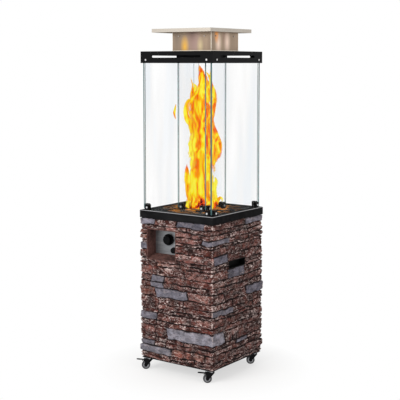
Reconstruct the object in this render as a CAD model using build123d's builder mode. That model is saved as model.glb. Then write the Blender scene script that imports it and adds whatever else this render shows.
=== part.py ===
from build123d import *

import math
import os

# Propane patio heater: a square stone-look base on four casters hides the gas bottle, a steel
# deck carries two square glass guards one inside the other, and a black frame, a stainless
# chimney and a flat roof close the top.
# All sizes are in millimetres. The floor is z = 0, the middle of the heater is x = y = 0,
# the control side faces -Y and the heater's right side faces +X.

os.makedirs("parts", exist_ok=True)

# Heights of the whole heater, from the floor up
caster_height = 57.0
base_plate_thickness = 3.0
stone_height = 640.0
tray_skirt = 34.0
glass_clear_height = 655.6
band_height = 51.5
stack_height = 97.5
roof_sheet = 1.5

# Widths across the flats
body_width = 400.0
band_width = 390.4
outer_glass_width = 374.0
inner_glass_width = 156.4
chimney_width = 211.0
roof_width = 319.0

# Clearances and overruns
running_gap = 0.06
easy_gap = 0.3
overrun = 5.0

# Levels that the heights give
plate_z = caster_height
stone_z = plate_z + base_plate_thickness
tray_z = stone_z + stone_height
deck_z = tray_z + tray_skirt
band_z = deck_z + glass_clear_height
band_top_z = band_z + band_height
roof_sheet_z = band_top_z + stack_height
body_half = body_width / 2


def write(piece, name):
    """Labels a finished piece and writes it as one file."""
    piece.part.label = name
    export_step(piece.part, f"parts/{name}.step")


def block(low, high, mode=Mode.ADD):
    """Adds or cuts an upright block between its lowest and highest corners."""
    width, depth, height = (b - a for a, b in zip(low, high))
    with BuildSketch(Plane.XY.offset(low[2])) as outline:
        with Locations((low[0] + width / 2, low[1] + depth / 2)):
            Rectangle(width, depth)
    extrude(outline.sketch, amount=height, mode=mode)


def upright(x, y, z, radius, height, bore=0, mode=Mode.ADD):
    """Adds or cuts an upright round bar or tube."""
    with BuildSketch(Plane.XY.offset(z)) as outline:
        with Locations((x, y)):
            Circle(radius)
            if bore:
                Circle(bore, mode=Mode.SUBTRACT)
    extrude(outline.sketch, amount=height, mode=mode)


def lying(centre, along, radius, length, bore=0, mode=Mode.ADD):
    """Adds or cuts a round bar or tube that starts at centre and runs along a direction."""
    with BuildSketch(Plane(origin=centre, z_dir=along)) as outline:
        Circle(radius)
        if bore:
            Circle(bore, mode=Mode.SUBTRACT)
    extrude(outline.sketch, amount=length, mode=mode)


def square_tube(half, wall, z, height, centre=(0, 0), mode=Mode.ADD):
    """Adds or cuts an upright square tube, by half its outer width."""
    with BuildSketch(Plane.XY.offset(z)) as outline:
        with Locations(centre):
            Rectangle(2 * half, 2 * half)
            if wall:
                Rectangle(2 * (half - wall), 2 * (half - wall), mode=Mode.SUBTRACT)
    extrude(outline.sketch, amount=height, mode=mode)


def turned(x, y, quarter):
    """Turns a place by quarter turns about the heater's middle, anticlockwise from above."""
    for _ in range(quarter):
        x, y = -y, x
    return x, y


def turned_block(low, high, quarter, centre=(0, 0), mode=Mode.ADD):
    """A block, given as on the control side, that is turned by quarter turns about a centre."""
    ax, ay = turned(low[0], low[1], quarter)
    bx, by = turned(high[0], high[1], quarter)
    left, right = centre[0] + min(ax, bx), centre[0] + max(ax, bx)
    front, back = centre[1] + min(ay, by), centre[1] + max(ay, by)
    block((left, front, low[2]), (right, back, high[2]), mode)


def turned_bar(x, y, z, radius, length, quarter, centre=(0, 0), mode=Mode.ADD):
    """A bar that runs inwards from the control side, turned by quarter turns about a centre."""
    px, py = turned(x, y, quarter)
    dx, dy = turned(0, 1, quarter)
    lying((centre[0] + px, centre[1] + py, z), (dx, dy, 0), radius, length, mode=mode)


def route_radii(points):
    """Bend radii of a cord: 0.45 of the shorter run over the tangent of half the turn."""
    radii = []
    for before, corner, after in zip(points, points[1:], points[2:]):
        run_in = Vector(*corner) - Vector(*before)
        run_out = Vector(*after) - Vector(*corner)
        turn = math.radians(run_in.get_angle(run_out))
        shorter = min(run_in.length, run_out.length)
        radii.append(bend_share * shorter / math.tan(turn / 2))
    return radii


def cord(name, points, radius):
    """A round cord along straight runs and tangent arcs."""
    radii = route_radii(points)
    with BuildPart() as lead:
        with BuildLine() as path:
            FilletPolyline(*points, radius=radii)
        with BuildSketch(Plane(origin=path.line @ 0, z_dir=path.line % 0)):
            Circle(radius)
        sweep()
    length = sum(edge.length for edge in path.line.edges())
    share = lead.part.volume / (math.pi * radius**2 * length)
    print(name, "bend radii", [round(r) for r in radii], "length", round(length), "volume share", share)
    write(lead, name)


bend_share = 0.45

# Stone-look base shell: a one-piece casting of stacked ledge stones around a plain hollow
stone_set_in = 3.5
stone_relief = 9.0
stone_wall = 16.5
stone_core_half = body_half - stone_set_in
cavity_half = stone_core_half - stone_wall

# Each course of stones, from the top: its share of the height, then the stones of the control
# side and of the right side, each as (where it ends, how proud it stands), in shares.
course_shares = [
    (0.045, [(-0.62, 0.55), (0, 0.75), (0.75, 0.6), (1, 0.8)], [(-0.3, 0.8), (0.27, 0.55), (1, 0.7)]),
    (0.030, [(-0.3, 0.35), (0.3, 0.5), (1, 0.3)], [(-0.4, 0.3), (0.5, 0.5), (1, 0.35)]),
    (0.036, [(-0.79, 0.7), (0.7, 0.6), (1, 0.85)], [(-0.37, 0.85), (0.4, 0.6), (1, 0.7)]),
    (0.037, [(-0.79, 0.75), (0.7, 0.55), (1, 0.8)], [(-0.37, 0.8), (0.4, 0.65), (1, 0.75)]),
    (0.022, [(-0.79, 0.2), (0.2, 0.4), (1, 0.3)], [(-0.5, 0.3), (0.3, 0.2), (1, 0.35)]),
    (0.052, [(-0.79, 0.6), (0.35, 0.55), (0.7, 0.65), (1, 0.45)], [(-0.45, 0.45), (0.2, 0.6), (1, 0.4)]),
    (0.059, [(-0.75, 0.75), (0, 0.6), (1, 0.9)], [(-0.92, 0.9), (-0.4, 0.55), (0.28, 0.6), (1, 0.8)]),
    (0.025, [(-0.6, 0.3), (0.1, 0.45), (1, 0.25)], [(-0.45, 0.6), (0.25, 0.55), (1, 0.75)]),
    (0.024, [(-0.52, 0.5), (0.3, 0.65), (1, 0.5)], [(-0.4, 0.3), (0.3, 0.4), (1, 0.6)]),
    (0.066, [(-0.52, 0.6), (0.25, 0.8), (1, 0.95)], [(-0.4, 0.5), (0.26, 0.85), (1, 0.55)]),
    (0.048, [(-0.72, 0.5), (-0.35, 0.8), (1, 0.6)], [(-0.5, 0.5), (0.2, 0.35), (1, 0.7)]),
    (0.039, [(-0.72, 0.6), (-0.35, 0.65), (0.9, 0.6), (1, 0.5)], [(-0.5, 0.65), (0.4, 0.5), (1, 0.6)]),
    (0.064, [(-0.55, 0.85), (0.35, 0.7), (1, 0.6)], [(-0.5, 0.6), (0.35, 0.55), (1, 0.8)]),
    (0.050, [(-0.5, 0.55), (0.2, 0.8), (1, 0.9)], [(-0.25, 0.6), (0.4, 0.75), (1, 0.8)]),
    (0.041, [(-0.52, 0.4), (0.95, 0.65), (1, 0.8)], [(-0.2, 0.8), (0.6, 0.55), (1, 0.5)]),
    (0.025, [(-0.52, 0.25), (0.35, 0.5), (1, 0.35)], [(-0.35, 0.3), (0.5, 0.5), (1, 0.4)]),
    (0.055, [(-0.55, 0.8), (0.4, 0.6), (1, 0.7)], [(-0.3, 0.7), (0.5, 0.75), (1, 0.9)]),
    (0.037, [(-0.55, 0.4), (0.1, 0.55), (1, 0.5)], [(-0.5, 0.5), (0.2, 0.45), (1, 0.6)]),
    (0.081, [(-0.57, 0.6), (-0.22, 0.45), (1, 1)], [(-0.52, 1), (-0.2, 0.6), (0.5, 0.7), (1, 0.6)]),
    (0.030, [(-0.6, 0.4), (0.2, 0.5), (1, 0.4)], [(-0.08, 0.5), (0.37, 0.75), (1, 0.6)]),
    (0.034, [(-0.62, 0.6), (-0.3, 0.35), (1, 0.6)], [(-0.1, 0.6), (0.4, 0.65), (1, 0.7)]),
    (0.053, [(-0.13, 0.95), (0.8, 0.75), (1, 0.7)], [(-0.5, 0.7), (0.3, 0.8), (1, 0.9)]),
    (0.025, [(-0.2, 0.45), (0.5, 0.6), (1, 0.55)], [(-0.6, 0.55), (0.2, 0.4), (1, 0.5)]),
    (0.022, [(-0.2, 0.3), (0.4, 0.4), (1, 0.35)], [(-0.3, 0.35), (0.5, 0.3), (1, 0.4)]),
]
back_shift_count = 9
left_shift_count = 13

# Control recess in the control side, and what sits in it
recess_side_room = 42.5
recess_width = 153.5
recess_drop = 50.0
recess_height = 131.0
recess_depth = 58.0
recess_set_in = 3.0
recess_sill_rise = 15.0
recess_wall = 5.0
control_plate_thickness = 1.5
recess_left_x = recess_side_room - body_half
recess_right_x = recess_left_x + recess_width
recess_high_z = tray_z - recess_drop
recess_low_z = recess_high_z - recess_height
recess_front_y = recess_set_in - body_half
control_plate_y = recess_front_y + recess_depth
recess_low = (recess_left_x - recess_wall, recess_front_y, recess_low_z - recess_wall)
recess_high = (recess_right_x + recess_wall, control_plate_y, recess_high_z + recess_wall)

# Carrying grips, one cup let into each side
grip_y = -12.0
grip_drop = 193.0
grip_length = 130.0
grip_height = 36.0
grip_corner = 8.0
grip_wall = 2.5
grip_depth = 32.0
grip_z = tray_z - grip_drop

# Doorway in the back of the shell, which the gas bottle goes through
doorway_cheek = 15.0
doorway_rise = 20.0
doorway_height = 480.0
doorway_half = cavity_half - doorway_cheek
doorway_low_z = stone_z + doorway_rise
doorway_high_z = doorway_low_z + doorway_height


def course_outline(sides):
    """Outline of one course, anticlockwise from above, from the stones of its four sides."""
    reach = [[stone_core_half + stone_relief * proud for _, proud in side] for side in sides]
    points = []
    for index, side in enumerate(sides):
        start = -reach[index - 1][-1]
        ends = [body_half * end for end, _ in side[:-1]] + [reach[(index + 1) % 4][0]]
        for end, out in zip(ends, reach[index]):
            points += [turned(start, -out, index), turned(end, -out, index)]
            start = end
    return [p for p, q in zip(points, points[1:] + points[:1]) if math.dist(p, q) > running_gap]


def grip_outline(plane, inset):
    """Rounded slot of a carrying grip on a plane whose middle is the grip's middle."""
    with BuildSketch(plane) as outline:
        RectangleRounded(grip_length - 2 * inset, grip_height - 2 * inset, grip_corner - inset)
    return outline.sketch


def side_plane(side, x):
    """Plane across a grip, looking outwards on the right (1) or the left (-1) side."""
    return Plane(origin=(side * x, grip_y, grip_z), x_dir=(0, side, 0), z_dir=(side, 0, 0))


with BuildPart() as stone_shell:
    course_top = stone_z + stone_height
    for number, (height_share, front, right) in enumerate(course_shares):
        back = course_shares[(number + back_shift_count) % len(course_shares)][1]
        left = course_shares[(number + left_shift_count) % len(course_shares)][2]
        course_height = stone_height * height_share
        course_top -= course_height
        with BuildSketch(Plane.XY.offset(course_top)):
            with BuildLine():
                Polyline(*course_outline([front, right, back, left]), close=True)
            make_face()
        extrude(amount=course_height)
    square_tube(cavity_half, 0, stone_z - overrun, stone_height + 2 * overrun, mode=Mode.SUBTRACT)
    block(
        (recess_low[0], -body_half - stone_relief, recess_low[2]),
        (recess_high[0], -cavity_half + overrun, recess_high[2]),
        Mode.SUBTRACT,
    )
    block(
        (-doorway_half, cavity_half - overrun, doorway_low_z),
        (doorway_half, body_half + stone_relief, doorway_high_z),
        Mode.SUBTRACT,
    )
    for side in (1, -1):
        cut = grip_outline(side_plane(side, cavity_half - overrun), 0)
        extrude(cut, amount=body_half + stone_relief - cavity_half + overrun, mode=Mode.SUBTRACT)
write(stone_shell, "stone_shell")

# Recess liner: an open-backed box with a sloping sill
with BuildPart() as control_recess:
    block(recess_low, recess_high)
    with BuildSketch(Plane.YZ.offset(recess_left_x)):
        with BuildLine():
            Polyline(
                (recess_front_y - overrun, recess_low_z),
                (recess_front_y, recess_low_z),
                (control_plate_y, recess_low_z + recess_sill_rise),
                (control_plate_y + overrun, recess_low_z + recess_sill_rise),
                (control_plate_y + overrun, recess_high_z),
                (recess_front_y - overrun, recess_high_z),
                close=True,
            )
        make_face()
    extrude(amount=recess_right_x - recess_left_x, mode=Mode.SUBTRACT)
write(control_recess, "control_recess")

# Brushed control plate across the back of the recess
knob_side_room = 77.5
knob_drop = 48.0
knob_to_igniter = 27.0
igniter_drop = 95.0
plate_spindle_hole = 6.0
igniter_radius = 11.0
knob_x = recess_left_x + knob_side_room
igniter_x = knob_x + knob_to_igniter
knob_z = recess_high_z - knob_drop
igniter_z = recess_high_z - igniter_drop
with BuildPart() as control_plate:
    block(
        (recess_low[0], control_plate_y, recess_low[2]),
        (recess_high[0], control_plate_y + control_plate_thickness, recess_high[2]),
    )
    through = control_plate_thickness + 2 * overrun
    for x, z, radius in ((knob_x, knob_z, plate_spindle_hole), (igniter_x, igniter_z, igniter_radius)):
        lying((x, control_plate_y - overrun, z), (0, 1, 0), radius, through, mode=Mode.SUBTRACT)
write(control_plate, "control_plate")

# Carrying grips
for side, name in ((1, "grip_right"), (-1, "grip_left")):
    with BuildPart() as grip:
        cup_bottom = body_half - grip_depth
        extrude(grip_outline(side_plane(side, cup_bottom), 0), amount=grip_depth)
        hollow = grip_outline(side_plane(side, cup_bottom + grip_wall), grip_wall)
        extrude(hollow, amount=grip_depth, mode=Mode.SUBTRACT)
    write(grip, name)

# Base plate under the shell, with gas vents and the seats of the casters
base_plate_set_in = 6.0
vent_length = 90.0
vent_width = 10.0
vent_pitch = 22.0
vent_count = 5
vent_set_in = 74.0
caster_set_in = 28.0
caster_plate_half = 19.0
caster_plate_thickness = 2.5
caster_screw_place = 13.0
caster_screw_radius = 2.5
caster_screw_head = 4.2
caster_screw_head_height = 2.4
caster_screw_bite = 2.5
base_plate_half = body_half - base_plate_set_in
vent_place = base_plate_half - vent_set_in
caster_place = body_half - caster_set_in
caster_places = {
    "front_right": (caster_place, -caster_place),
    "front_left": (-caster_place, -caster_place),
    "back_right": (caster_place, caster_place),
    "back_left": (-caster_place, caster_place),
}
screw_places = [
    (x + sx * caster_screw_place, y + sy * caster_screw_place)
    for x, y in caster_places.values()
    for sx in (1, -1)
    for sy in (1, -1)
]
with BuildPart() as base_plate:
    block((-base_plate_half, -base_plate_half, plate_z), (base_plate_half, base_plate_half, stone_z))
    with BuildSketch(Plane.XY.offset(plate_z)):
        with Locations((vent_place, 0), (-vent_place, 0)):
            with GridLocations(0, vent_pitch, 1, vent_count):
                SlotOverall(vent_length, vent_width)
    extrude(amount=base_plate_thickness, mode=Mode.SUBTRACT)
    for x, y in screw_places:
        upright(x, y, plate_z, caster_screw_radius, caster_screw_bite, mode=Mode.SUBTRACT)
write(base_plate, "base_plate")

# Casters: mounting plate with its race and kingpin
race_radius = 13.5
race_height = 3.0
kingpin_radius = 4.0
kingpin_head_radius = 6.5
kingpin_head_height = 2.6
wheel_radius = 19.5
wheel_width = 15.0
trail = 15.0
race_z = plate_z - caster_plate_thickness - race_height
housing_radius = 16.0
housing_height = 7.4
housing_z = race_z - easy_gap - housing_height
with BuildPart() as caster_plates:
    for x, y in caster_places.values():
        block(
            (x - caster_plate_half, y - caster_plate_half, plate_z - caster_plate_thickness),
            (x + caster_plate_half, y + caster_plate_half, plate_z),
        )
        upright(x, y, race_z, race_radius, race_height)
        head_z = housing_z - easy_gap - kingpin_head_height
        upright(x, y, head_z, kingpin_radius, race_z - head_z)
        upright(x, y, head_z, kingpin_head_radius, kingpin_head_height)
    for x, y in screw_places:
        upright(x, y, plate_z - caster_plate_thickness, caster_screw_radius, caster_plate_thickness,
                mode=Mode.SUBTRACT)
write(caster_plates, "caster_plates")

with BuildPart() as caster_screws:
    for x, y in screw_places:
        under = plate_z - caster_plate_thickness
        upright(x, y, under - caster_screw_head_height, caster_screw_head, caster_screw_head_height)
        upright(x, y, under, caster_screw_radius, caster_plate_thickness + caster_screw_bite)
write(caster_screws, "caster_screws")

# Casters: swivel fork, wheel and, on the front pair, a foot brake
caster_heading = 215.75
cheek_play = 1.5
cheek_thickness = 2.0
axle_radius = 3.0
axle_head_radius = 5.0
axle_head_height = 1.6
eye_radius = 7.5
cheek_back = 13.0
cheek_front = 17.0
hub_radius = 12.5
hub_side = 1.0
tyre_round = 2.5
brake_pivot_u = 22.0
brake_pin_radius = 1.5
brake_eye_radius = 4.0
brake_half_width = 7.0
brake_thickness = 2.4
brake_length = 36.0
brake_tip_round = 6.5
brake_tip_rise = 3.0
brake_shoe_u = 27.5
brake_shoe_length = 3.5
brake_shoe_drop = 6.0
cheek_inner = wheel_width / 2 + cheek_play
brake_pivot_z = housing_z - easy_gap
brake_shoe_z = brake_pivot_z - brake_shoe_drop
heading = (math.cos(math.radians(caster_heading)), math.sin(math.radians(caster_heading)), 0)
across = (heading[1], -heading[0], 0)


def fork_plane(x, y, aside):
    """Upright plane along a caster's heading, with its first axis backwards along the trail."""
    origin = (x + across[0] * aside, y + across[1] * aside, 0)
    return Plane(origin=origin, x_dir=heading, z_dir=across)


for name, (x, y) in caster_places.items():
    braked = name.startswith("front")
    with BuildPart() as fork:
        upright(x, y, housing_z, housing_radius, housing_height)
        for aside in (-cheek_inner - cheek_thickness, cheek_inner):
            with BuildSketch(fork_plane(x, y, aside)):
                with BuildLine():
                    Polyline(
                        (-cheek_back, housing_z + housing_height),
                        (cheek_front, housing_z + housing_height),
                        (trail + eye_radius, wheel_radius),
                        (trail - eye_radius, wheel_radius),
                        (-cheek_back, housing_z),
                        close=True,
                    )
                make_face()
                with Locations((trail, wheel_radius)):
                    Circle(eye_radius)
                if braked:
                    with BuildLine():
                        Polyline(
                            (0, brake_pivot_z - brake_eye_radius),
                            (brake_pivot_u, brake_pivot_z - brake_eye_radius),
                            (brake_pivot_u, brake_pivot_z + brake_eye_radius),
                            (0, brake_pivot_z + brake_eye_radius),
                            close=True,
                        )
                    make_face()
                    with Locations((brake_pivot_u, brake_pivot_z)):
                        Circle(brake_eye_radius)
            extrude(amount=cheek_thickness)
        upright(x, y, housing_z - overrun, kingpin_radius + running_gap, housing_height + 2 * overrun,
                mode=Mode.SUBTRACT)
        cheek_outer = cheek_inner + cheek_thickness
        pins = [((trail, wheel_radius), axle_radius, axle_head_radius)]
        if braked:
            pins.append(((brake_pivot_u, brake_pivot_z), brake_pin_radius, brake_pin_radius))
        for place, radius, head_radius in pins:
            with BuildSketch(fork_plane(x, y, -cheek_outer)):
                with Locations(place):
                    Circle(radius)
            extrude(amount=2 * cheek_outer)
            for start in (-cheek_outer - axle_head_height, cheek_outer):
                with BuildSketch(fork_plane(x, y, start)):
                    with Locations(place):
                        Circle(head_radius)
                extrude(amount=axle_head_height)
    write(fork, f"caster_fork_{name}")

    with BuildPart() as wheel:
        with BuildSketch(fork_plane(x, y, -wheel_width / 2)):
            with Locations((trail, wheel_radius)):
                Circle(wheel_radius)
        extrude(amount=wheel_width)
        fillet(wheel.edges().filter_by(GeomType.CIRCLE), tyre_round)
        with BuildSketch(fork_plane(x, y, -wheel_width / 2)):
            with Locations((trail, wheel_radius)):
                Circle(hub_radius)
        extrude(amount=wheel_width, mode=Mode.SUBTRACT)
    with BuildPart() as hub:
        with BuildSketch(fork_plane(x, y, -wheel_width / 2 - hub_side)):
            with Locations((trail, wheel_radius)):
                Circle(hub_radius)
                Circle(axle_radius + running_gap, mode=Mode.SUBTRACT)
        extrude(amount=wheel_width + 2 * hub_side)
    wheel_set = Compound(children=[wheel.part.solid(), hub.part.solid()])
    wheel_set.label = f"caster_wheel_{name}"
    export_step(wheel_set, f"parts/caster_wheel_{name}.step")

    if braked:
        with BuildPart() as brake:
            with BuildSketch(fork_plane(x, y, -brake_half_width)):
                with BuildLine():
                    Polyline(
                        (brake_pivot_u, brake_pivot_z - brake_thickness / 2),
                        (brake_pivot_u + brake_length, brake_pivot_z + brake_tip_rise - brake_thickness / 2),
                        (brake_pivot_u + brake_length, brake_pivot_z + brake_tip_rise + brake_thickness / 2),
                        (brake_pivot_u, brake_pivot_z + brake_thickness / 2),
                        close=True,
                    )
                make_face()
                with BuildLine():
                    Polyline(
                        (brake_shoe_u, brake_shoe_z),
                        (brake_shoe_u + brake_shoe_length, brake_shoe_z),
                        (brake_shoe_u + brake_shoe_length, brake_pivot_z),
                        (brake_shoe_u, brake_pivot_z),
                        close=True,
                    )
                make_face()
                with Locations((brake_pivot_u, brake_pivot_z)):
                    Circle(brake_thickness)
                    Circle(brake_pin_radius + running_gap, mode=Mode.SUBTRACT)
            extrude(amount=2 * brake_half_width)
            tip_edges = brake.edges().filter_by(Axis.Z).sort_by(Axis((0, 0, 0), heading))[-2:]
            fillet(tip_edges, brake_tip_round)
        write(brake, f"brake_lever_{name}")

# Gas bottle: welded shell on a foot ring, with a guard collar open towards the door
tank_head_room = 183.0
tank_side_room = 25.0
tank_wall = 3.0
tank_dome = 72.0
tank_foot = 100.0
guard_rise = 105.0
ring_set_in = 55.0
ring_wall = 3.0
collar_mouth_half = 76.0
bung_radius = 14.0
quarter_turn = 90.0
seat_height = 12.0
seat_wall = 4.0
tank_height = stone_height - tank_head_room
tank_radius = cavity_half - tank_side_room
ring_radius = tank_radius - ring_set_in
tank_low_z = stone_z + tank_foot
collar_top_z = stone_z + tank_height
tank_high_z = collar_top_z - guard_rise - tank_dome

# Bottle valve with its handwheel, which sits in the bung of the bottle
valve_sink = 10.0
valve_height = 50.0
valve_neck_radius = 10.0
valve_neck_height = 12.0
outlet_rise = 36.0
outlet_radius = 14.0
outlet_y = 44.0
valve_foot_z = tank_high_z + tank_dome - valve_sink
valve_top_z = valve_foot_z + valve_height
outlet_z = valve_foot_z + outlet_rise
collar_sill_drop = 18.0
collar_sill_z = outlet_z - collar_sill_drop


def tank_profile(inset):
    """Half section of the bottle's body on the XZ plane, set in from its outside."""
    radius = tank_radius - inset
    dome = tank_dome - inset
    with BuildSketch(Plane.XZ) as outline:
        with BuildLine():
            Line((0, tank_low_z - dome), (0, tank_high_z + dome))
            EllipticalCenterArc((0, tank_high_z), radius, dome, start_angle=0, arc_size=quarter_turn)
            Line((radius, tank_high_z), (radius, tank_low_z))
            EllipticalCenterArc((0, tank_low_z), radius, dome, start_angle=-quarter_turn, arc_size=quarter_turn)
        make_face()
    return outline.sketch


with BuildPart() as tank_body:
    revolve(tank_profile(0))
    revolve(tank_profile(tank_wall), mode=Mode.SUBTRACT)
    upright(0, 0, tank_high_z, bung_radius, tank_dome + overrun, mode=Mode.SUBTRACT)
with BuildPart() as foot_ring:
    upright(0, 0, stone_z, ring_radius, tank_low_z - stone_z, ring_radius - ring_wall)
    revolve(tank_profile(0), mode=Mode.SUBTRACT)
with BuildPart() as guard_collar:
    upright(0, 0, tank_high_z, ring_radius, collar_top_z - tank_high_z, ring_radius - ring_wall)
    revolve(tank_profile(0), mode=Mode.SUBTRACT)
    block((-collar_mouth_half, 0, collar_sill_z), (collar_mouth_half, body_half, collar_top_z + overrun),
          Mode.SUBTRACT)
bottle = Compound(children=[tank_body.part.solid(), foot_ring.part.solid(), guard_collar.part.solid()])
bottle.label = "gas_tank"
export_step(bottle, "parts/gas_tank.step")

with BuildPart() as tank_seat:
    upright(0, 0, stone_z, ring_radius + easy_gap + seat_wall, seat_height, ring_radius + easy_gap)
write(tank_seat, "tank_seat")

handwheel_radius = 31.0
handwheel_height = 12.0
handwheel_lobes = 8
handwheel_lobe_radius = 5.0
handwheel_spindle_radius = 4.0
handwheel_spindle_length = 24.0
with BuildPart() as tank_valve:
    upright(0, 0, valve_foot_z, bung_radius, valve_top_z - valve_foot_z)
    upright(0, 0, valve_top_z, valve_neck_radius, valve_neck_height)
    lying((0, 0, outlet_z), (0, 1, 0), outlet_radius, outlet_y)
    spindle_foot_z = valve_top_z + valve_neck_height + easy_gap - handwheel_spindle_length
    upright(0, 0, spindle_foot_z - easy_gap, handwheel_spindle_radius + running_gap,
            handwheel_spindle_length + overrun, mode=Mode.SUBTRACT)
write(tank_valve, "tank_valve")

with BuildPart() as handwheel:
    wheel_z = valve_top_z + valve_neck_height + easy_gap
    upright(0, 0, wheel_z, handwheel_radius, handwheel_height)
    fillet(handwheel.edges().filter_by(GeomType.CIRCLE), tyre_round)
    with BuildSketch(Plane.XY.offset(wheel_z)):
        with PolarLocations(handwheel_radius + handwheel_lobe_radius / 2, handwheel_lobes):
            Circle(handwheel_lobe_radius)
    extrude(amount=handwheel_height, mode=Mode.SUBTRACT)
    upright(0, 0, spindle_foot_z, handwheel_spindle_radius, handwheel_spindle_length)
write(handwheel, "handwheel")

# Regulator on the bottle valve, held by its coupling nut
nut_radius = 21.0
nut_length = 24.0
nut_lip = 3.0
nut_y = 28.0
nipple_radius = 9.0
nipple_flange_radius = 13.0
regulator_radius = 36.0
regulator_height = 28.0
regulator_nipple = 26.0
regulator_cap_radius = 29.0
regulator_cap_height = 9.0
regulator_round = 4.0
regulator_outlet_radius = 8.0
regulator_outlet_length = 16.0
regulator_y = outlet_y + regulator_nipple + regulator_radius
with BuildPart() as coupling_nut:
    lying((0, nut_y, outlet_z), (0, 1, 0), nut_radius, nut_length, outlet_radius + easy_gap)
    lip_y = nut_y + nut_length - nut_lip
    lying((0, lip_y, outlet_z), (0, 1, 0), nut_radius, nut_lip, nipple_radius)
write(coupling_nut, "coupling_nut")

with BuildPart() as regulator:
    upright(0, regulator_y, outlet_z - regulator_height / 2, regulator_radius, regulator_height)
    fillet(regulator.edges().filter_by(GeomType.CIRCLE), regulator_round)
    upright(0, regulator_y, outlet_z + regulator_height / 2, regulator_cap_radius, regulator_cap_height)
    fillet(regulator.faces().sort_by(Axis.Z)[-1].edges(), regulator_round)
    lying((0, outlet_y, outlet_z), (0, 1, 0), nipple_radius, regulator_y - outlet_y)
    lying((0, outlet_y, outlet_z), (0, 1, 0), nipple_flange_radius, lip_y - outlet_y)
    lying((0, regulator_y, outlet_z), (-1, 0, 0), regulator_outlet_radius,
          regulator_radius + regulator_outlet_length)
write(regulator, "regulator")

# Gas tap behind the control plate, with its rotor, spindle and knob
tap_half = 20.0
tap_depth = 52.5
tap_front_wall = 6.0
tap_back_wall = 10.0
tap_spindle_hole = 4.6
rotor_radius = 9.0
rotor_length = 35.5
spindle_radius = 4.0
spindle_reach = 29.5
rotor_bore_reach = 37.5
knob_stand_off = 5.0
knob_skirt_radius = 25.5
knob_skirt = 5.0
knob_grip_radius = 20.0
knob_grip = 13.0
knob_flutes = 10
knob_flute_radius = 3.0
knob_socket = 13.0
knob_pointer_width = 2.0
knob_pointer_depth = 1.0
inlet_radius = 8.0
inlet_length = 12.0
inlet_reach = 29.5
inlet_side = 12.0
tap_front_y = control_plate_y + control_plate_thickness
tap_back_y = tap_front_y + tap_depth
spindle_inner_y = tap_front_y + spindle_reach
rotor_bore_y = tap_front_y + rotor_bore_reach
knob_back_y = control_plate_y - knob_stand_off
inlet_x = knob_x - inlet_side
inlet_y = tap_front_y + inlet_reach
tap_cavity_y = tap_front_y + tap_front_wall
with BuildPart() as gas_tap:
    block((knob_x - tap_half, tap_front_y, knob_z - tap_half),
          (knob_x + tap_half, tap_back_y, knob_z + tap_half))
    lying((knob_x, tap_cavity_y, knob_z), (0, 1, 0), rotor_radius + running_gap,
          tap_back_y - tap_back_wall - tap_cavity_y, mode=Mode.SUBTRACT)
    lying((knob_x, tap_front_y - overrun, knob_z), (0, 1, 0), tap_spindle_hole,
          tap_front_wall + 2 * overrun, mode=Mode.SUBTRACT)
    lying((inlet_x, inlet_y, knob_z - tap_half), (0, 0, -1), inlet_radius, inlet_length)
write(gas_tap, "gas_tap")

with BuildPart() as tap_rotor:
    rotor_y = tap_cavity_y + running_gap
    lying((knob_x, rotor_y, knob_z), (0, 1, 0), rotor_radius, rotor_length)
    lying((knob_x, rotor_y - overrun, knob_z), (0, 1, 0), spindle_radius + running_gap,
          rotor_bore_y - rotor_y + overrun, mode=Mode.SUBTRACT)
write(tap_rotor, "tap_rotor")

knob_front_y = knob_back_y - knob_skirt - knob_grip
with BuildPart() as tap_spindle:
    spindle_y = knob_back_y - knob_socket
    lying((knob_x, spindle_y, knob_z), (0, 1, 0), spindle_radius, spindle_inner_y - spindle_y)
write(tap_spindle, "tap_spindle")

with BuildPart() as control_knob:
    lying((knob_x, knob_back_y, knob_z), (0, -1, 0), knob_skirt_radius, knob_skirt)
    with BuildSketch(Plane(origin=(knob_x, knob_back_y - knob_skirt, knob_z), z_dir=(0, -1, 0))):
        Circle(knob_grip_radius)
        with PolarLocations(knob_grip_radius + knob_flute_radius / 2, knob_flutes):
            Circle(knob_flute_radius, mode=Mode.SUBTRACT)
    extrude(amount=knob_grip)
    chamfer(control_knob.faces().sort_by(Axis.Y)[0].edges(), knob_pointer_depth)
    block((knob_x - knob_pointer_width / 2, knob_front_y - overrun, knob_z),
          (knob_x + knob_pointer_width / 2, knob_front_y + knob_pointer_depth, knob_z + knob_grip_radius),
          Mode.SUBTRACT)
    lying((knob_x, knob_back_y, knob_z), (0, -1, 0), spindle_radius, knob_socket, mode=Mode.SUBTRACT)
write(control_knob, "control_knob")

# Push-button igniter below the tap
igniter_wall = 3.0
igniter_back = 3.0
bezel_radius = 14.5
bezel_thickness = 3.0
button_head_radius = 12.7
button_head = 5.0
button_stem = 28.0
button_gap = 4.5
terminal_radius = 3.0
terminal_length = 7.0
igniter_bore = igniter_radius - igniter_wall
with BuildPart() as igniter_body:
    igniter_end_y = tap_back_y
    lying((igniter_x, control_plate_y, igniter_z), (0, 1, 0), igniter_radius,
          igniter_end_y - control_plate_y)
    lying((igniter_x, control_plate_y, igniter_z), (0, -1, 0), bezel_radius, bezel_thickness)
    lying((igniter_x, control_plate_y - bezel_thickness - overrun, igniter_z), (0, 1, 0), igniter_bore,
          igniter_end_y - igniter_back - control_plate_y + bezel_thickness + overrun, mode=Mode.SUBTRACT)
    lying((igniter_x, igniter_end_y, igniter_z), (0, 1, 0), terminal_radius, terminal_length)
write(igniter_body, "igniter_body")

with BuildPart() as igniter_button:
    button_y = control_plate_y - bezel_thickness - button_gap
    lying((igniter_x, button_y, igniter_z), (0, -1, 0), button_head_radius, button_head)
    fillet(igniter_button.faces().sort_by(Axis.Y)[0].edges(), tyre_round)
    lying((igniter_x, button_y, igniter_z), (0, 1, 0), igniter_bore - running_gap, button_stem)
write(igniter_button, "igniter_button")

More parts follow.
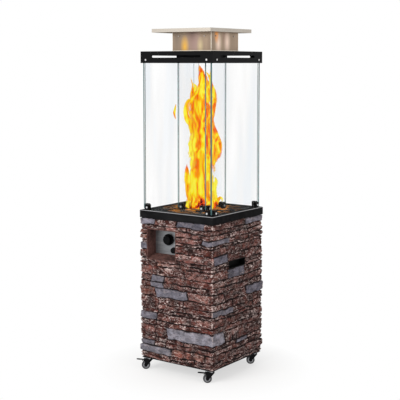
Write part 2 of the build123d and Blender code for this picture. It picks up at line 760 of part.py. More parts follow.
# Tilt switch on top of the tap, which cuts the gas when the heater leans
tilt_width = 26.0
tilt_depth = 22.0
tilt_height = 15.0
tilt_reach = 25.5
tilt_y = tap_front_y + tilt_reach
with BuildPart() as tilt_switch:
    block((knob_x - tilt_width / 2, tilt_y - tilt_depth / 2, knob_z + tap_half),
          (knob_x + tilt_width / 2, tilt_y + tilt_depth / 2, knob_z + tap_half + tilt_height))
    fillet(tilt_switch.edges().filter_by(Axis.Z), tyre_round)
write(tilt_switch, "tilt_switch")

# Burner: pan in the deck, perforated cap, mixer tube and its gas supply
pan_radius = 61.5
pan_wall = 1.5
pan_depth = 30.0
pan_flange_radius = 68.0
cap_gap = 0.3
cap_sheet = 1.2
cap_drop = 1.0
cap_rings = 6
cap_hole_radius = 2.4
mixer_radius = 14.0
mixer_wall = 2.5
mixer_rise = 10.0
mixer_length = 64.0
mixer_window_width = 9.0
mixer_window_height = 16.0
mixer_window_rise = 12.0
electrode_radius = 3.5
electrode_rise = 8.0
electrode_low = 26.0
electrode_tip_radius = 1.2
electrode_tip = 12.0
electrode_place = (-35.0, -26.0)
probe_place = (-43.0, 5.0)
probe_radius = 3.0
probe_tip_radius = 2.0
cap_radius = pan_radius - pan_wall - cap_gap
pan_floor_z = deck_z - pan_depth
cap_z = deck_z - cap_drop
mixer_z = pan_floor_z + pan_wall + mixer_rise - mixer_length
with BuildPart() as burner_pan:
    upright(0, 0, pan_floor_z, pan_radius, pan_depth, pan_radius - pan_wall)
    upright(0, 0, pan_floor_z, pan_radius, pan_wall)
    upright(0, 0, deck_z, pan_flange_radius, pan_wall, pan_radius - pan_wall)
    floor_cut = pan_wall + 2 * overrun
    upright(0, 0, pan_floor_z - overrun, mixer_radius, floor_cut, mode=Mode.SUBTRACT)
    for (x, y), radius in ((electrode_place, electrode_radius), (probe_place, probe_radius)):
        upright(x, y, pan_floor_z - overrun, radius, floor_cut, mode=Mode.SUBTRACT)
write(burner_pan, "burner_pan")

with BuildPart() as burner_cap:
    cap_foot_z = pan_floor_z + pan_wall
    upright(0, 0, cap_foot_z, cap_radius, cap_z - cap_foot_z, cap_radius - cap_sheet)
    with BuildSketch(Plane.XY.offset(cap_z - cap_sheet)):
        Circle(cap_radius)
        for ring in range(cap_rings):
            with PolarLocations(cap_radius * ring / cap_rings, max(1, ring * cap_rings)):
                Circle(cap_hole_radius, mode=Mode.SUBTRACT)
        for (x, y), radius in ((electrode_place, electrode_radius), (probe_place, probe_radius)):
            with Locations((x, y)):
                Circle(radius + easy_gap, mode=Mode.SUBTRACT)
    extrude(amount=cap_sheet)
write(burner_cap, "burner_cap")

with BuildPart() as mixer_tube:
    upright(0, 0, mixer_z, mixer_radius, mixer_length, mixer_radius - mixer_wall)
    upright(0, 0, mixer_z, mixer_radius, mixer_wall)
    window_z = mixer_z + mixer_window_rise
    window_half = mixer_window_width / 2
    for half_x, half_y in ((mixer_radius, window_half), (window_half, mixer_radius)):
        block((-half_x, -half_y, window_z), (half_x, half_y, window_z + mixer_window_height), Mode.SUBTRACT)
write(mixer_tube, "mixer_tube")

with BuildPart() as spark_electrode:
    x, y = electrode_place
    upright(x, y, pan_floor_z - electrode_low, electrode_radius, cap_z + electrode_rise
            - pan_floor_z + electrode_low)
    upright(x, y, cap_z + electrode_rise, electrode_tip_radius, electrode_tip)
write(spark_electrode, "spark_electrode")

with BuildPart() as thermocouple:
    x, y = probe_place
    upright(x, y, pan_floor_z - electrode_low, probe_radius, cap_z + electrode_rise
            - pan_floor_z + electrode_low)
    upright(x, y, cap_z + electrode_rise, probe_tip_radius, electrode_tip)
    fillet(thermocouple.faces().sort_by(Axis.Z)[-1].edges(), electrode_tip_radius)
write(thermocouple, "thermocouple")

# Held cords and tubes, each from its first fitting to its last, on routes chosen by hand
hose_radius = 6.0
supply_radius = 4.0
lead_radius = 1.6
hose_start_run = 48.0
hose_end_run = 82.0
hose_bends = [(-40, 60, 108), (-40, -40, 125)]
supply_side = 8.0
supply_start_run = 33.0
supply_end_run = 45.0
supply_bends = [(33, -14, 5)]
spark_start_run = 23.0
spark_end_run = 24.0
spark_bends = [(7, -33, 30)]
thermocouple_side = -12.0
thermocouple_start_run = 23.0
thermocouple_end_run = 22.0
thermocouple_bends = [(-8, -30, 20), (18, -6, 40)]


def set_off(anchor_x, anchor_z, bends):
    """A cord's bends, given from the side and the height of the piece that it keeps clear of."""
    return [(anchor_x + x, y, anchor_z + z) for x, y, z in bends]


def moved(place, along, distance):
    """A place moved along a direction."""
    return tuple(a + distance * d for a, d in zip(place, along))


lead_top_z = pan_floor_z - electrode_low
routes = {
    "gas_hose": (
        hose_radius,
        (-regulator_radius - regulator_outlet_length, regulator_y, outlet_z), (-1, 0, 0), hose_start_run,
        set_off(-ring_radius, tank_high_z, hose_bends),
        (inlet_x, inlet_y, knob_z - tap_half - inlet_length), (0, 0, -1), hose_end_run,
    ),
    "supply_tube": (
        supply_radius,
        (knob_x + supply_side, tap_back_y, knob_z), (0, 1, 0), supply_start_run,
        set_off(knob_x, knob_z, supply_bends),
        (0, 0, mixer_z), (0, 0, -1), supply_end_run,
    ),
    "spark_lead": (
        lead_radius,
        (igniter_x, igniter_end_y + terminal_length, igniter_z), (0, 1, 0), spark_start_run,
        set_off(igniter_x, igniter_z, spark_bends),
        (*electrode_place, lead_top_z), (0, 0, -1), spark_end_run,
    ),
    "thermocouple_lead": (
        lead_radius,
        (knob_x + thermocouple_side, tap_back_y, knob_z), (0, 1, 0), thermocouple_start_run,
        set_off(knob_x, knob_z, thermocouple_bends),
        (*probe_place, lead_top_z), (0, 0, -1), thermocouple_end_run,
    ),
}
for name, (radius, start, start_way, start_run, bends, end, end_way, end_run) in routes.items():
    run = [start, moved(start, start_way, start_run), *bends, moved(end, end_way, end_run), end]
    cord(name, run, radius)

# Steel deck tray with a skirt, turned in below to rest on the stones
tray_sheet = 2.0
tray_return = 14.0
tray_edge = 1.0
with BuildPart() as deck_tray:
    square_tube(body_half, 0, tray_z, tray_skirt)
    chamfer(deck_tray.faces().sort_by(Axis.Z)[-1].edges(), tray_edge)
    square_tube(body_half - tray_sheet, 0, tray_z + tray_sheet, tray_skirt - 2 * tray_sheet,
                mode=Mode.SUBTRACT)
    square_tube(body_half - tray_return, 0, tray_z - overrun, tray_sheet + overrun, mode=Mode.SUBTRACT)
    upright(0, 0, tray_z, pan_radius, tray_skirt + overrun, mode=Mode.SUBTRACT)
write(deck_tray, "deck_tray")

# Glass clamps on the deck, and the panes that stand in them
outer_glass_half = outer_glass_width / 2
outer_glass_thickness = 5.0
outer_corner_gap = 3.0
outer_clamp_place = 165.0
outer_glass_lap = 24.0
inner_glass_half = inner_glass_width / 2
inner_glass_thickness = 4.0
inner_corner_gap = 1.5
inner_clamp_place = 57.0
inner_glass_lap = 15.0
clamp_width = 24.0
clamp_height = 25.0
clamp_base = 6.0
clamp_outer_jaw = 4.5
clamp_inner_jaw = 3.5
clamp_edge = 1.0
pad_thickness = 1.0
pad_inset = 1.5
clamp_screw_rise = 12.0
screw_radius = 2.5
screw_head_radius = 4.2
screw_head_height = 2.6
pane_z = deck_z + clamp_base + pad_thickness
guards = {
    "outer": (outer_glass_half, outer_glass_thickness, outer_clamp_place, outer_glass_lap, outer_corner_gap),
    "inner": (inner_glass_half, inner_glass_thickness, inner_clamp_place, inner_glass_lap, inner_corner_gap),
}
quarter_names = ("front", "right", "back", "left")
for guard, (half, thickness, place, lap, corner_gap) in guards.items():
    with BuildPart() as clamps:
        for quarter in range(4):
            for x in (-place, place):
                clamp_front = -half - pad_thickness - clamp_outer_jaw
                clamp_back = -half + thickness + pad_thickness + clamp_inner_jaw
                turned_block((x - clamp_width / 2, clamp_front, deck_z),
                             (x + clamp_width / 2, clamp_back, deck_z + clamp_height), quarter)
        fillet(clamps.edges().filter_by(Axis.Z), clamp_edge)
        for quarter in range(4):
            for x in (-place, place):
                turned_block((x - clamp_width, -half - pad_thickness, deck_z + clamp_base),
                             (x + clamp_width, -half + thickness + pad_thickness, deck_z + clamp_height
                              + overrun), quarter, mode=Mode.SUBTRACT)
                turned_bar(x, clamp_front - overrun, deck_z + clamp_screw_rise, screw_radius,
                           clamp_outer_jaw + overrun, quarter, mode=Mode.SUBTRACT)
    write(clamps, f"{guard}_clamps")
    panes = []
    for quarter in range(4):
        reach = half if quarter % 2 else half - thickness - corner_gap
        with BuildPart() as pane:
            turned_block((-reach, -half, pane_z), (reach, -half + thickness, band_z + lap), quarter)
        panes.append(pane)
    if guard == "outer":
        for pane, side_name in zip(panes, quarter_names):
            write(pane, f"outer_glass_{side_name}")
    else:
        inner_glass = Compound(children=[pane.part.solid() for pane in panes])
        inner_glass.label = "inner_glass"
        export_step(inner_glass, "parts/inner_glass.step")

with BuildPart() as clamp_pads:
    for half, thickness, place, _, _ in guards.values():
        for quarter in range(4):
            for x in (-place, place):
                pad_half = clamp_width / 2 - pad_inset
                turned_block((x - pad_half, -half - pad_thickness, deck_z + clamp_base),
                             (x + pad_half, -half + thickness + pad_thickness, deck_z + clamp_height
                              - pad_inset), quarter)
                turned_block((x - clamp_width, -half, pane_z),
                             (x + clamp_width, -half + thickness, deck_z + clamp_height), quarter,
                             mode=Mode.SUBTRACT)
write(clamp_pads, "clamp_pads")

with BuildPart() as clamp_screws:
    for half, thickness, place, _, _ in guards.values():
        for quarter in range(4):
            for x in (-place, place):
                face = -half - pad_thickness - clamp_outer_jaw
                turned_bar(x, face - screw_head_height, deck_z + clamp_screw_rise, screw_head_radius,
                           screw_head_height, quarter)
                turned_bar(x, face, deck_z + clamp_screw_rise, screw_radius, clamp_outer_jaw, quarter)
write(clamp_screws, "clamp_screws")

# Black frame round the top, an upside-down tray with one long vent in each side
band_half = band_width / 2
band_sheet = 2.0
band_slot_length = 262.0
band_slot_height = 10.0
band_slot_rise = 28.5
band_screw_rise = 14.0
band_screw_bite = 5.0
flue_half = 81.5
flue_wall = 1.5
flue_drop = 2.4
flue_flange = 10.5
return_slot_near = 94.0
return_slot_far = 108.0
return_slot_half = 64.0
band_inner_half = band_half - band_sheet
with BuildPart() as top_band:
    square_tube(band_half, 0, band_z, band_height)
    chamfer(top_band.faces().sort_by(Axis.Z)[-1].edges(), tray_edge)
    square_tube(band_inner_half, 0, band_z - overrun, band_height - band_sheet + overrun,
                mode=Mode.SUBTRACT)
    for quarter in range(4):
        px, py = turned(0, -band_half, quarter)
        ax, ay = turned(1, 0, quarter)
        face = Plane(origin=(px, py, band_z + band_slot_rise), x_dir=(ax, ay, 0), z_dir=(ay, -ax, 0))
        with BuildSketch(face) as slot:
            SlotOverall(band_slot_length, band_slot_height)
        extrude(slot.sketch, amount=band_sheet + overrun, both=True, mode=Mode.SUBTRACT)
        for x in (-outer_clamp_place, outer_clamp_place):
            turned_bar(x, -band_half - overrun, band_z + band_screw_rise, screw_radius,
                       band_sheet + 2 * overrun, quarter, mode=Mode.SUBTRACT)
    square_tube(flue_half - flue_wall, 0, band_z, band_height + overrun, mode=Mode.SUBTRACT)
    for quarter in (1, 2):
        turned_block((-return_slot_half, -return_slot_far, band_z),
                     (return_slot_half, -return_slot_near, band_top_z + overrun), quarter,
                     mode=Mode.SUBTRACT)
write(top_band, "top_band")

# Clips inside the frame that hold the tops of the outer panes
clip_height = 30.0
clip_rise = 1.5
clip_inner_jaw = 3.5
clip_z = band_z + clip_rise
with BuildPart() as top_clips:
    clip_back = -outer_glass_half + outer_glass_thickness + clip_inner_jaw
    for quarter in range(4):
        for x in (-outer_clamp_place, outer_clamp_place):
            turned_block((x - clamp_width / 2, -band_inner_half, clip_z),
                         (x + clamp_width / 2, clip_back, clip_z + clip_height), quarter)
            turned_block((x - clamp_width, -outer_glass_half - easy_gap, clip_z - overrun),
                         (x + clamp_width, -outer_glass_half + outer_glass_thickness + easy_gap,
                          band_z + outer_glass_lap + easy_gap), quarter, mode=Mode.SUBTRACT)
            turned_bar(x, -band_half, band_z + band_screw_rise, screw_radius,
                       band_sheet + band_screw_bite, quarter, mode=Mode.SUBTRACT)
write(top_clips, "top_clips")

# Square flue collar round the top of the inner glass, under the frame's top sheet
with BuildPart() as flue_collar:
    flue_z = band_z + flue_drop
    flue_top = band_top_z - band_sheet
    square_tube(flue_half, flue_wall, flue_z, flue_top - flue_z)
    square_tube(flue_half + flue_flange, flue_flange + flue_wall, flue_top - flue_wall, flue_wall)
write(flue_collar, "flue_collar")

# Stainless chimney, set a little off the middle, and the roof on it
chimney_centre = (13.0, 9.0)
chimney_half = chimney_width / 2
chimney_sheet = 1.2
chimney_flange = 6.0
chimney_hem = 0.8
chimney_hem_height = 4.0
chimney_screw_place = 70.0
chimney_screw_drop = 31.0
chimney_screw_radius = 2.0
chimney_screw_head = 3.4
chimney_screw_head_height = 2.0
chimney_screw_bite = 1.5
roof_fascia = 16.0
roof_tab_width = 20.0
roof_tab_height = 38.0
chimney_screw_z = roof_sheet_z - chimney_screw_drop
roof_half = roof_width / 2
with BuildPart() as chimney:
    square_tube(chimney_half, chimney_sheet, band_top_z, stack_height, chimney_centre)
    square_tube(chimney_half, chimney_flange, band_top_z, chimney_sheet, chimney_centre)
    square_tube(chimney_half + chimney_hem, chimney_hem + chimney_sheet, band_top_z, chimney_hem_height,
                chimney_centre)
    for quarter in range(4):
        for x in (-chimney_screw_place, chimney_screw_place):
            turned_bar(x, -chimney_half - overrun, chimney_screw_z, chimney_screw_radius,
                       chimney_sheet + 2 * overrun, quarter, chimney_centre, Mode.SUBTRACT)
write(chimney, "chimney")

with BuildPart() as roof_plate:
    square_tube(roof_half, 0, roof_sheet_z, roof_sheet)
    square_tube(roof_half, roof_sheet, roof_sheet_z + roof_sheet - roof_fascia, roof_fascia)
    tab_face = -chimney_half + chimney_sheet
    for quarter in range(4):
        for x in (-chimney_screw_place, chimney_screw_place):
            turned_block((x - roof_tab_width / 2, tab_face, roof_sheet_z - roof_tab_height),
                         (x + roof_tab_width / 2, tab_face + roof_sheet, roof_sheet_z), quarter,
                         chimney_centre)
            turned_bar(x, tab_face - overrun, chimney_screw_z, chimney_screw_radius,
                       roof_sheet + 2 * overrun, quarter, chimney_centre, Mode.SUBTRACT)
write(roof_plate, "roof_plate")

with BuildPart() as panel_screws:
    for quarter in range(4):
        for x in (-outer_clamp_place, outer_clamp_place):
            turned_bar(x, -band_half - screw_head_height, band_z + band_screw_rise, screw_head_radius,
                       screw_head_height, quarter)
            turned_bar(x, -band_half, band_z + band_screw_rise, screw_radius,
                       band_sheet + band_screw_bite, quarter)
        for x in (-chimney_screw_place, chimney_screw_place):
            turned_bar(x, -chimney_half - chimney_screw_head_height, chimney_screw_z, chimney_screw_head,
                       chimney_screw_head_height, quarter, chimney_centre)
            turned_bar(x, -chimney_half, chimney_screw_z, chimney_screw_radius,
                       chimney_sheet + roof_sheet + chimney_screw_bite, quarter, chimney_centre)
write(panel_screws, "panel_screws")

# Back door, its hinges and its magnet
door_gap = 2.0
door_sheet = 1.5
door_fold = 12.0
door_set_in = 3.0
hinge_axis_inset = 3.75
hinge_axis_out = 3.0
hinge_radius = 3.5
hinge_pin_radius = 1.5
hinge_leaf = 1.5
hinge_leaf_depth = 17.0
hinge_end = 15.0
hinge_middle = 20.0
hinge_link = 11.0
hinge_link_thickness = 4.0
hinge_edge = 2.75
hinge_rises = (70.0, 370.0)
pull_set_in = 25.0
pull_stem_radius = 5.0
pull_stem = 8.0
pull_radius = 10.0
pull_head = 6.0
magnet_width = 16.0
magnet_depth = 12.7
magnet_height = 40.0
door_face_y = body_half - door_set_in
hinge_axis_y = body_half + hinge_axis_out
hinge_leaf_y = body_half - hinge_leaf_depth
hinge_lows = [doorway_low_z + rise for rise in hinge_rises]
pull_x = doorway_half - pull_set_in
pull_z = (doorway_low_z + doorway_high_z) / 2
hinge_x = -doorway_half + hinge_axis_inset
hinge_length = 2 * hinge_end + 2 * easy_gap + hinge_middle
door_left = hinge_x + hinge_edge
door_right = doorway_half - door_gap
door_low = doorway_low_z + door_gap
door_high = doorway_high_z - door_gap
with BuildPart() as rear_door:
    block((door_left, door_face_y - door_fold, door_low), (door_right, door_face_y, door_high))
    block((door_left + door_sheet, door_face_y - door_fold - overrun, door_low + door_sheet),
          (door_right - door_sheet, door_face_y - door_sheet, door_high - door_sheet), Mode.SUBTRACT)
    for low in hinge_lows:
        middle = low + hinge_end + easy_gap
        block((hinge_x, door_face_y, middle),
              (hinge_x + hinge_link, door_face_y + hinge_link_thickness, middle + hinge_middle))
        upright(hinge_x, hinge_axis_y, middle, hinge_radius, hinge_middle)
        upright(hinge_x, hinge_axis_y, middle - easy_gap, hinge_pin_radius + running_gap,
                hinge_middle + 2 * easy_gap, mode=Mode.SUBTRACT)
write(rear_door, "rear_door")

with BuildPart() as leaves:
    for low in hinge_lows:
        block((-doorway_half, hinge_leaf_y, low),
              (-doorway_half + hinge_leaf, hinge_axis_y, low + hinge_length))
        upright(hinge_x, hinge_axis_y, low, hinge_radius, hinge_length)
        upright(hinge_x, hinge_axis_y, low + hinge_end, hinge_radius + easy_gap,
                hinge_middle + 2 * easy_gap, mode=Mode.SUBTRACT)
        upright(hinge_x, hinge_axis_y, low, hinge_pin_radius, hinge_length, mode=Mode.SUBTRACT)

with BuildPart() as pins:
    for low in hinge_lows:
        upright(hinge_x, hinge_axis_y, low, hinge_pin_radius, hinge_length)
door_hinges = Compound(children=[*leaves.part.solids(), *pins.part.solids()])
door_hinges.label = "door_hinges"
export_step(door_hinges, "parts/door_hinges.step")

with BuildPart() as door_pull:
    lying((pull_x, door_face_y, pull_z), (0, 1, 0), pull_stem_radius, pull_stem)
    lying((pull_x, door_face_y + pull_stem, pull_z), (0, 1, 0), pull_radius, pull_head)
    fillet(door_pull.faces().sort_by(Axis.Y)[-1].edges(), tray_sheet)
write(door_pull, "door_pull")

with BuildPart() as door_magnet:
    magnet_y = door_face_y - door_fold - easy_gap
    block((doorway_half - magnet_width, magnet_y - magnet_depth, pull_z - magnet_height / 2),
          (doorway_half, magnet_y, pull_z + magnet_height / 2))
write(door_magnet, "door_magnet")
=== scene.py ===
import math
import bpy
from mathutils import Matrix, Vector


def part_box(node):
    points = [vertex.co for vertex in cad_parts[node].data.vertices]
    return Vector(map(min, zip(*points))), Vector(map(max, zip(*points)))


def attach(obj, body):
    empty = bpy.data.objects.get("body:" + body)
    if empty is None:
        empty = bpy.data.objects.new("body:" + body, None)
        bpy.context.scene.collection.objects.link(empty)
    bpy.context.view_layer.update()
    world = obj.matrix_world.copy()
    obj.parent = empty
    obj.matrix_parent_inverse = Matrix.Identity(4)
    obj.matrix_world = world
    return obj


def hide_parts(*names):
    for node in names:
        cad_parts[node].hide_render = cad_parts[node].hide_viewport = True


bl_info = {
    "name": "Patio heater dressing",
    "version": (1, 0, 0),
    "blender": (4, 5, 0),
    "location": "3D View > Sidebar > Patio heater",
    "description": "Dresses the packed patio heater with its stones, glass, metals, flame and studio",
    "category": "Object",
}

import bmesh
import bpy
import numpy as np
from bpy.props import FloatProperty, FloatVectorProperty, IntProperty, PointerProperty

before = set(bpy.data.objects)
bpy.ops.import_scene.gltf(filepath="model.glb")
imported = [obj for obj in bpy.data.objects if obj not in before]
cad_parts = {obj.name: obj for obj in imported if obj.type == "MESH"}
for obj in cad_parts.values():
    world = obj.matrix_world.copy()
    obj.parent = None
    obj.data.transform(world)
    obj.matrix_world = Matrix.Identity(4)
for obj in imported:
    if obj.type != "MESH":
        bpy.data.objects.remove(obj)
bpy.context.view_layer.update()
MM = 0.001

# Levels of the solids, in millimetres, that the dressing follows
FLOOR_OF_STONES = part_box("base_plate")[1].z / MM
TOP_OF_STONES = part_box("deck_tray")[0].z / MM
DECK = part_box("deck_tray")[1].z / MM
CASTERS = ("front_right", "front_left", "back_right", "back_left")

# The camera, fitted to the photo: its angle round the heater, its tilt in degrees, its distance and
# height in metres, its shift, and its focal length and the width of the picture in pixels
CAMERA_AZIMUTH = math.radians(35.746)
CAMERA_TILT = 5.089
CAMERA_REACH, CAMERA_HEIGHT = 4.47397, 1.38355
CAMERA_SHIFT = (-0.00495, -0.1175)
FOCAL_PIXELS, PICTURE_PIXELS = 994.57, 400


def linear(code):
    """Turns an sRGB hex colour into linear red, green, blue and a full alpha."""
    parts = [int(code[i:i + 2], 16) / 255 for i in (0, 2, 4)]
    return tuple(c / 12.92 if c <= 0.04045 else ((c + 0.055) / 1.055) ** 2.4 for c in parts) + (1.0,)


def add(tree, kind, inputs=(), stops=(), **settings):
    """Adds a shader node with its settings and links. inputs holds its sockets' values in order, or by
    name or number; a node among them stands for its first output. stops are a ramp's (place, colour)."""
    node = tree.nodes.new("ShaderNode" + kind)
    for key, value in settings.items():
        setattr(node, key, value)
    for key, value in inputs.items() if isinstance(inputs, dict) else enumerate(inputs):
        if isinstance(value, bpy.types.Node):
            value = value.outputs[0]
        if isinstance(value, bpy.types.NodeSocket):
            tree.links.new(value, node.inputs[key])
        else:
            node.inputs[key].default_value = value
    for number, (place, colour) in enumerate(stops):
        elements = node.color_ramp.elements
        stop = elements[number] if number < 2 else elements.new(place)
        stop.position, stop.color = place, colour
    return node


def cleared(owner):
    """The node tree of a material or of the world, turned on and emptied."""
    owner.use_nodes = True
    owner.node_tree.nodes.clear()
    return owner.node_tree


def new_material(name, **constants):
    """A material of one Principled shader with its constant sockets set, its tree and that shader."""
    material = bpy.data.materials.new(name)
    tree = cleared(material)
    shader = add(tree, "BsdfPrincipled", constants)
    add(tree, "OutputMaterial", {"Surface": shader})
    return material, tree, shader


def grain(tree, size, stretch=(1, 1, 1), detail=3.0, roughness=0.6):
    """Noise over the piece's own coordinates, in cells of about size millimetres drawn out by stretch."""
    scale = tuple(1 / (size * MM * s) for s in stretch)
    spot = add(tree, "TexCoord").outputs["Object"]
    spread = add(tree, "Mapping", {"Vector": spot, "Scale": scale})
    return add(tree, "TexNoise", {"Vector": spread, "Scale": 1.0, "Detail": detail, "Roughness": roughness})


def coated(name, colour, mottle, size, rough, spread, bump, stretch=(1, 1, 1), fine=None, **constants):
    """A coated, moulded, cast or brushed surface: mottled between two colours in cells of size
    millimetres, or fine ones, and in cells six times as wide, with its roughness spread round rough,
    and a bump of so many millimetres."""
    material, tree, shader = new_material(name, **constants)
    wide = grain(tree, size * 6, stretch)
    close = grain(tree, fine or size, stretch, detail=5.0)
    both = add(tree, "Math", (wide, close), operation="ADD")
    mottled = add(tree, "MapRange", (both, 0.7, 1.3, 0, 1))
    mottled = add(tree, "ValToRGB", [mottled], [(0, colour), (1, mottle)])
    tree.links.new(mottled.outputs[0], shader.inputs["Base Color"])
    uneven = add(tree, "MapRange", (close, 0.3, 0.7, rough - spread, rough + spread))
    tree.links.new(uneven.outputs[0], shader.inputs["Roughness"])
    if bump:
        height = add(tree, "Bump", {"Height": close, "Strength": 1.0, "Distance": bump * MM})
        tree.links.new(height.outputs[0], shader.inputs["Normal"])
    return material


def put_mesh(name, points, faces, material, body, smooth=True, attributes=None):
    """Puts points, in millimetres, and faces into a mesh piece at the origin that rides on a body."""
    mesh = bpy.data.meshes.new(name)
    mesh.from_pydata((np.asarray(points, float) * MM).tolist(), [], [list(f) for f in faces])
    mesh.validate()
    for key, values in (attributes or {}).items():
        values = np.asarray(values, np.float32)
        kind = "FLOAT_COLOR" if values.ndim == 2 else "FLOAT"
        layer = mesh.attributes.new(key, kind, "POINT")
        layer.data.foreach_set("color" if values.ndim == 2 else "value", values.ravel())
    mesh.polygons.foreach_set("use_smooth", [smooth] * len(mesh.polygons))
    mesh.materials.append(material)
    piece = bpy.data.objects.new(name, mesh)
    bpy.context.scene.collection.objects.link(piece)
    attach(piece, body)
    return piece


def dress(material, *nodes):
    """Gives solids of the frame a material."""
    for node in nodes:
        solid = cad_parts[node]
        if not solid.material_slots:
            solid.data.materials.append(material)
        for place in solid.material_slots:
            place.material = material


def lattice(place, seed):
    """A fixed random number from 0 to 1 for each whole-number place: its three numbers and the seed,
    mixed by large multipliers, of which the last 16 bits are kept."""
    x, y, z = (place[..., i].astype(np.int64) for i in range(3))
    n = (x * 73856093) ^ (y * 19349663) ^ (z * 83492791) ^ (seed * 40503)
    n = (n ^ (n >> 13)) * 1274126177
    return ((n ^ (n >> 16)) & 0xFFFF) / 65535.0


def drawn(seed, *places):
    """A fixed random number from 0 to 1 for each set of three whole numbers, arrays or single ones."""
    return lattice(np.stack(np.broadcast_arrays(*places), -1), seed)


def cloud(place, seed):
    """Smooth noise from 0 to 1: lattice numbers blended by the smooth step of each place's remainder."""
    whole = np.floor(place)
    part = place - whole
    part = part * part * part * (part * (part * 6 - 15) + 10)
    total = 0
    for corner in range(8):
        step = np.array([corner & 1, corner >> 1 & 1, corner >> 2 & 1])
        weight = np.prod(np.where(step == 1, part, 1 - part), axis=-1)
        total = total + weight * lattice(whole + step, seed)
    return total


def clouds(place, seed, octaves=3):
    """Smooth noise summed over octaves, each twice as fine and 0.55 as strong, from 0 to 1."""
    total, weight, sum_of_weights = 0, 1.0, 0.0
    for octave in range(octaves):
        total = total + weight * cloud(place * 2 ** octave, seed + octave)
        sum_of_weights += weight
        weight *= 0.55
    return total / sum_of_weights


def fade(distance, width):
    """Smooth rise from 0 at no distance to 1 at width."""
    share = np.clip(distance / width, 0, 1)
    return share * share * (3 - 2 * share)


def ramped(value, start, width):
    """Straight rise from 0 at start to 1 a width further on."""
    return np.clip((value - start) / width, 0, 1)


def between(low, high, share):
    """The value that lies a share of the way from low to high."""
    return low + (high - low) * share


def outside(value, low, high):
    """How far a value lies outside a range, and 0 inside it."""
    return np.maximum(np.maximum(low - value, value - high), 0)


def course_curve(points, count):
    """A smooth curve through points, in count even steps: the cubic whose slope at each point is half
    the way from the point before to the point after."""
    points = np.asarray(points, float)
    slopes = np.gradient(points, axis=0)
    place = np.linspace(0, len(points) - 1, count)
    first = np.minimum(place.astype(int), len(points) - 2)
    t = (place - first)[:, None]
    a, b, ma, mb = points[first], points[first + 1], slopes[first], slopes[first + 1]
    return (a * (2 * t ** 3 - 3 * t ** 2 + 1) + ma * (t ** 3 - 2 * t ** 2 + t)
            + b * (3 * t ** 2 - 2 * t ** 3) + mb * (t ** 3 - t ** 2))


def turned(profile, centre, axis, around):
    """Points and faces of a closed outline, as (along the axis, radius), turned about an axis through
    the centre: each point is centre + along x axis + radius x the turned unit vector."""
    axis = np.asarray(axis, float) / np.linalg.norm(axis)
    side = np.cross(axis, (0, 0, 1) if abs(axis[2]) < 0.9 else (1, 0, 0))
    side = side / np.linalg.norm(side)
    up = np.cross(axis, side)
    outline = np.asarray(profile, float)
    angle = np.linspace(0, 2 * math.pi, around, endpoint=False)
    ring = np.cos(angle)[:, None] * side + np.sin(angle)[:, None] * up
    centre = np.asarray(centre, float)
    points = centre + outline[None, :, :1] * axis + outline[None, :, 1:] * ring[:, None]
    row, step = np.arange(around)[:, None], np.arange(len(outline))[None, :]
    n = len(outline)
    faces = np.stack([row * n + step, row * n + (step + 1) % n,
                      (row + 1) % around * n + (step + 1) % n, (row + 1) % around * n + step], axis=-1)
    return points.reshape(-1, 3), faces.reshape(-1, 4)


def outwards(piece):
    """Turns every face of a closed piece outwards."""
    work = bmesh.new()
    work.from_mesh(piece.data)
    bmesh.ops.recalc_face_normals(work, faces=work.faces)
    work.to_mesh(piece.data)
    work.free()
    return piece


# Tones of the stones: v, g and u are slate greys, p pinkish, b brown, d dark brown, t tan, r rusty and
# k umber. The slates are split smooth, the others are craggy.
TONES = {
    "v": "8C8E9A", "g": "7C7E8B", "u": "6B6D7B", "p": "8A665F", "b": "6F4C45",
    "d": "5C3C36", "t": "8E6B60", "r": "70433A", "k": "4C322C",
}
SLATES = "vgu"
SLATE_ROUGHNESS = 0.45
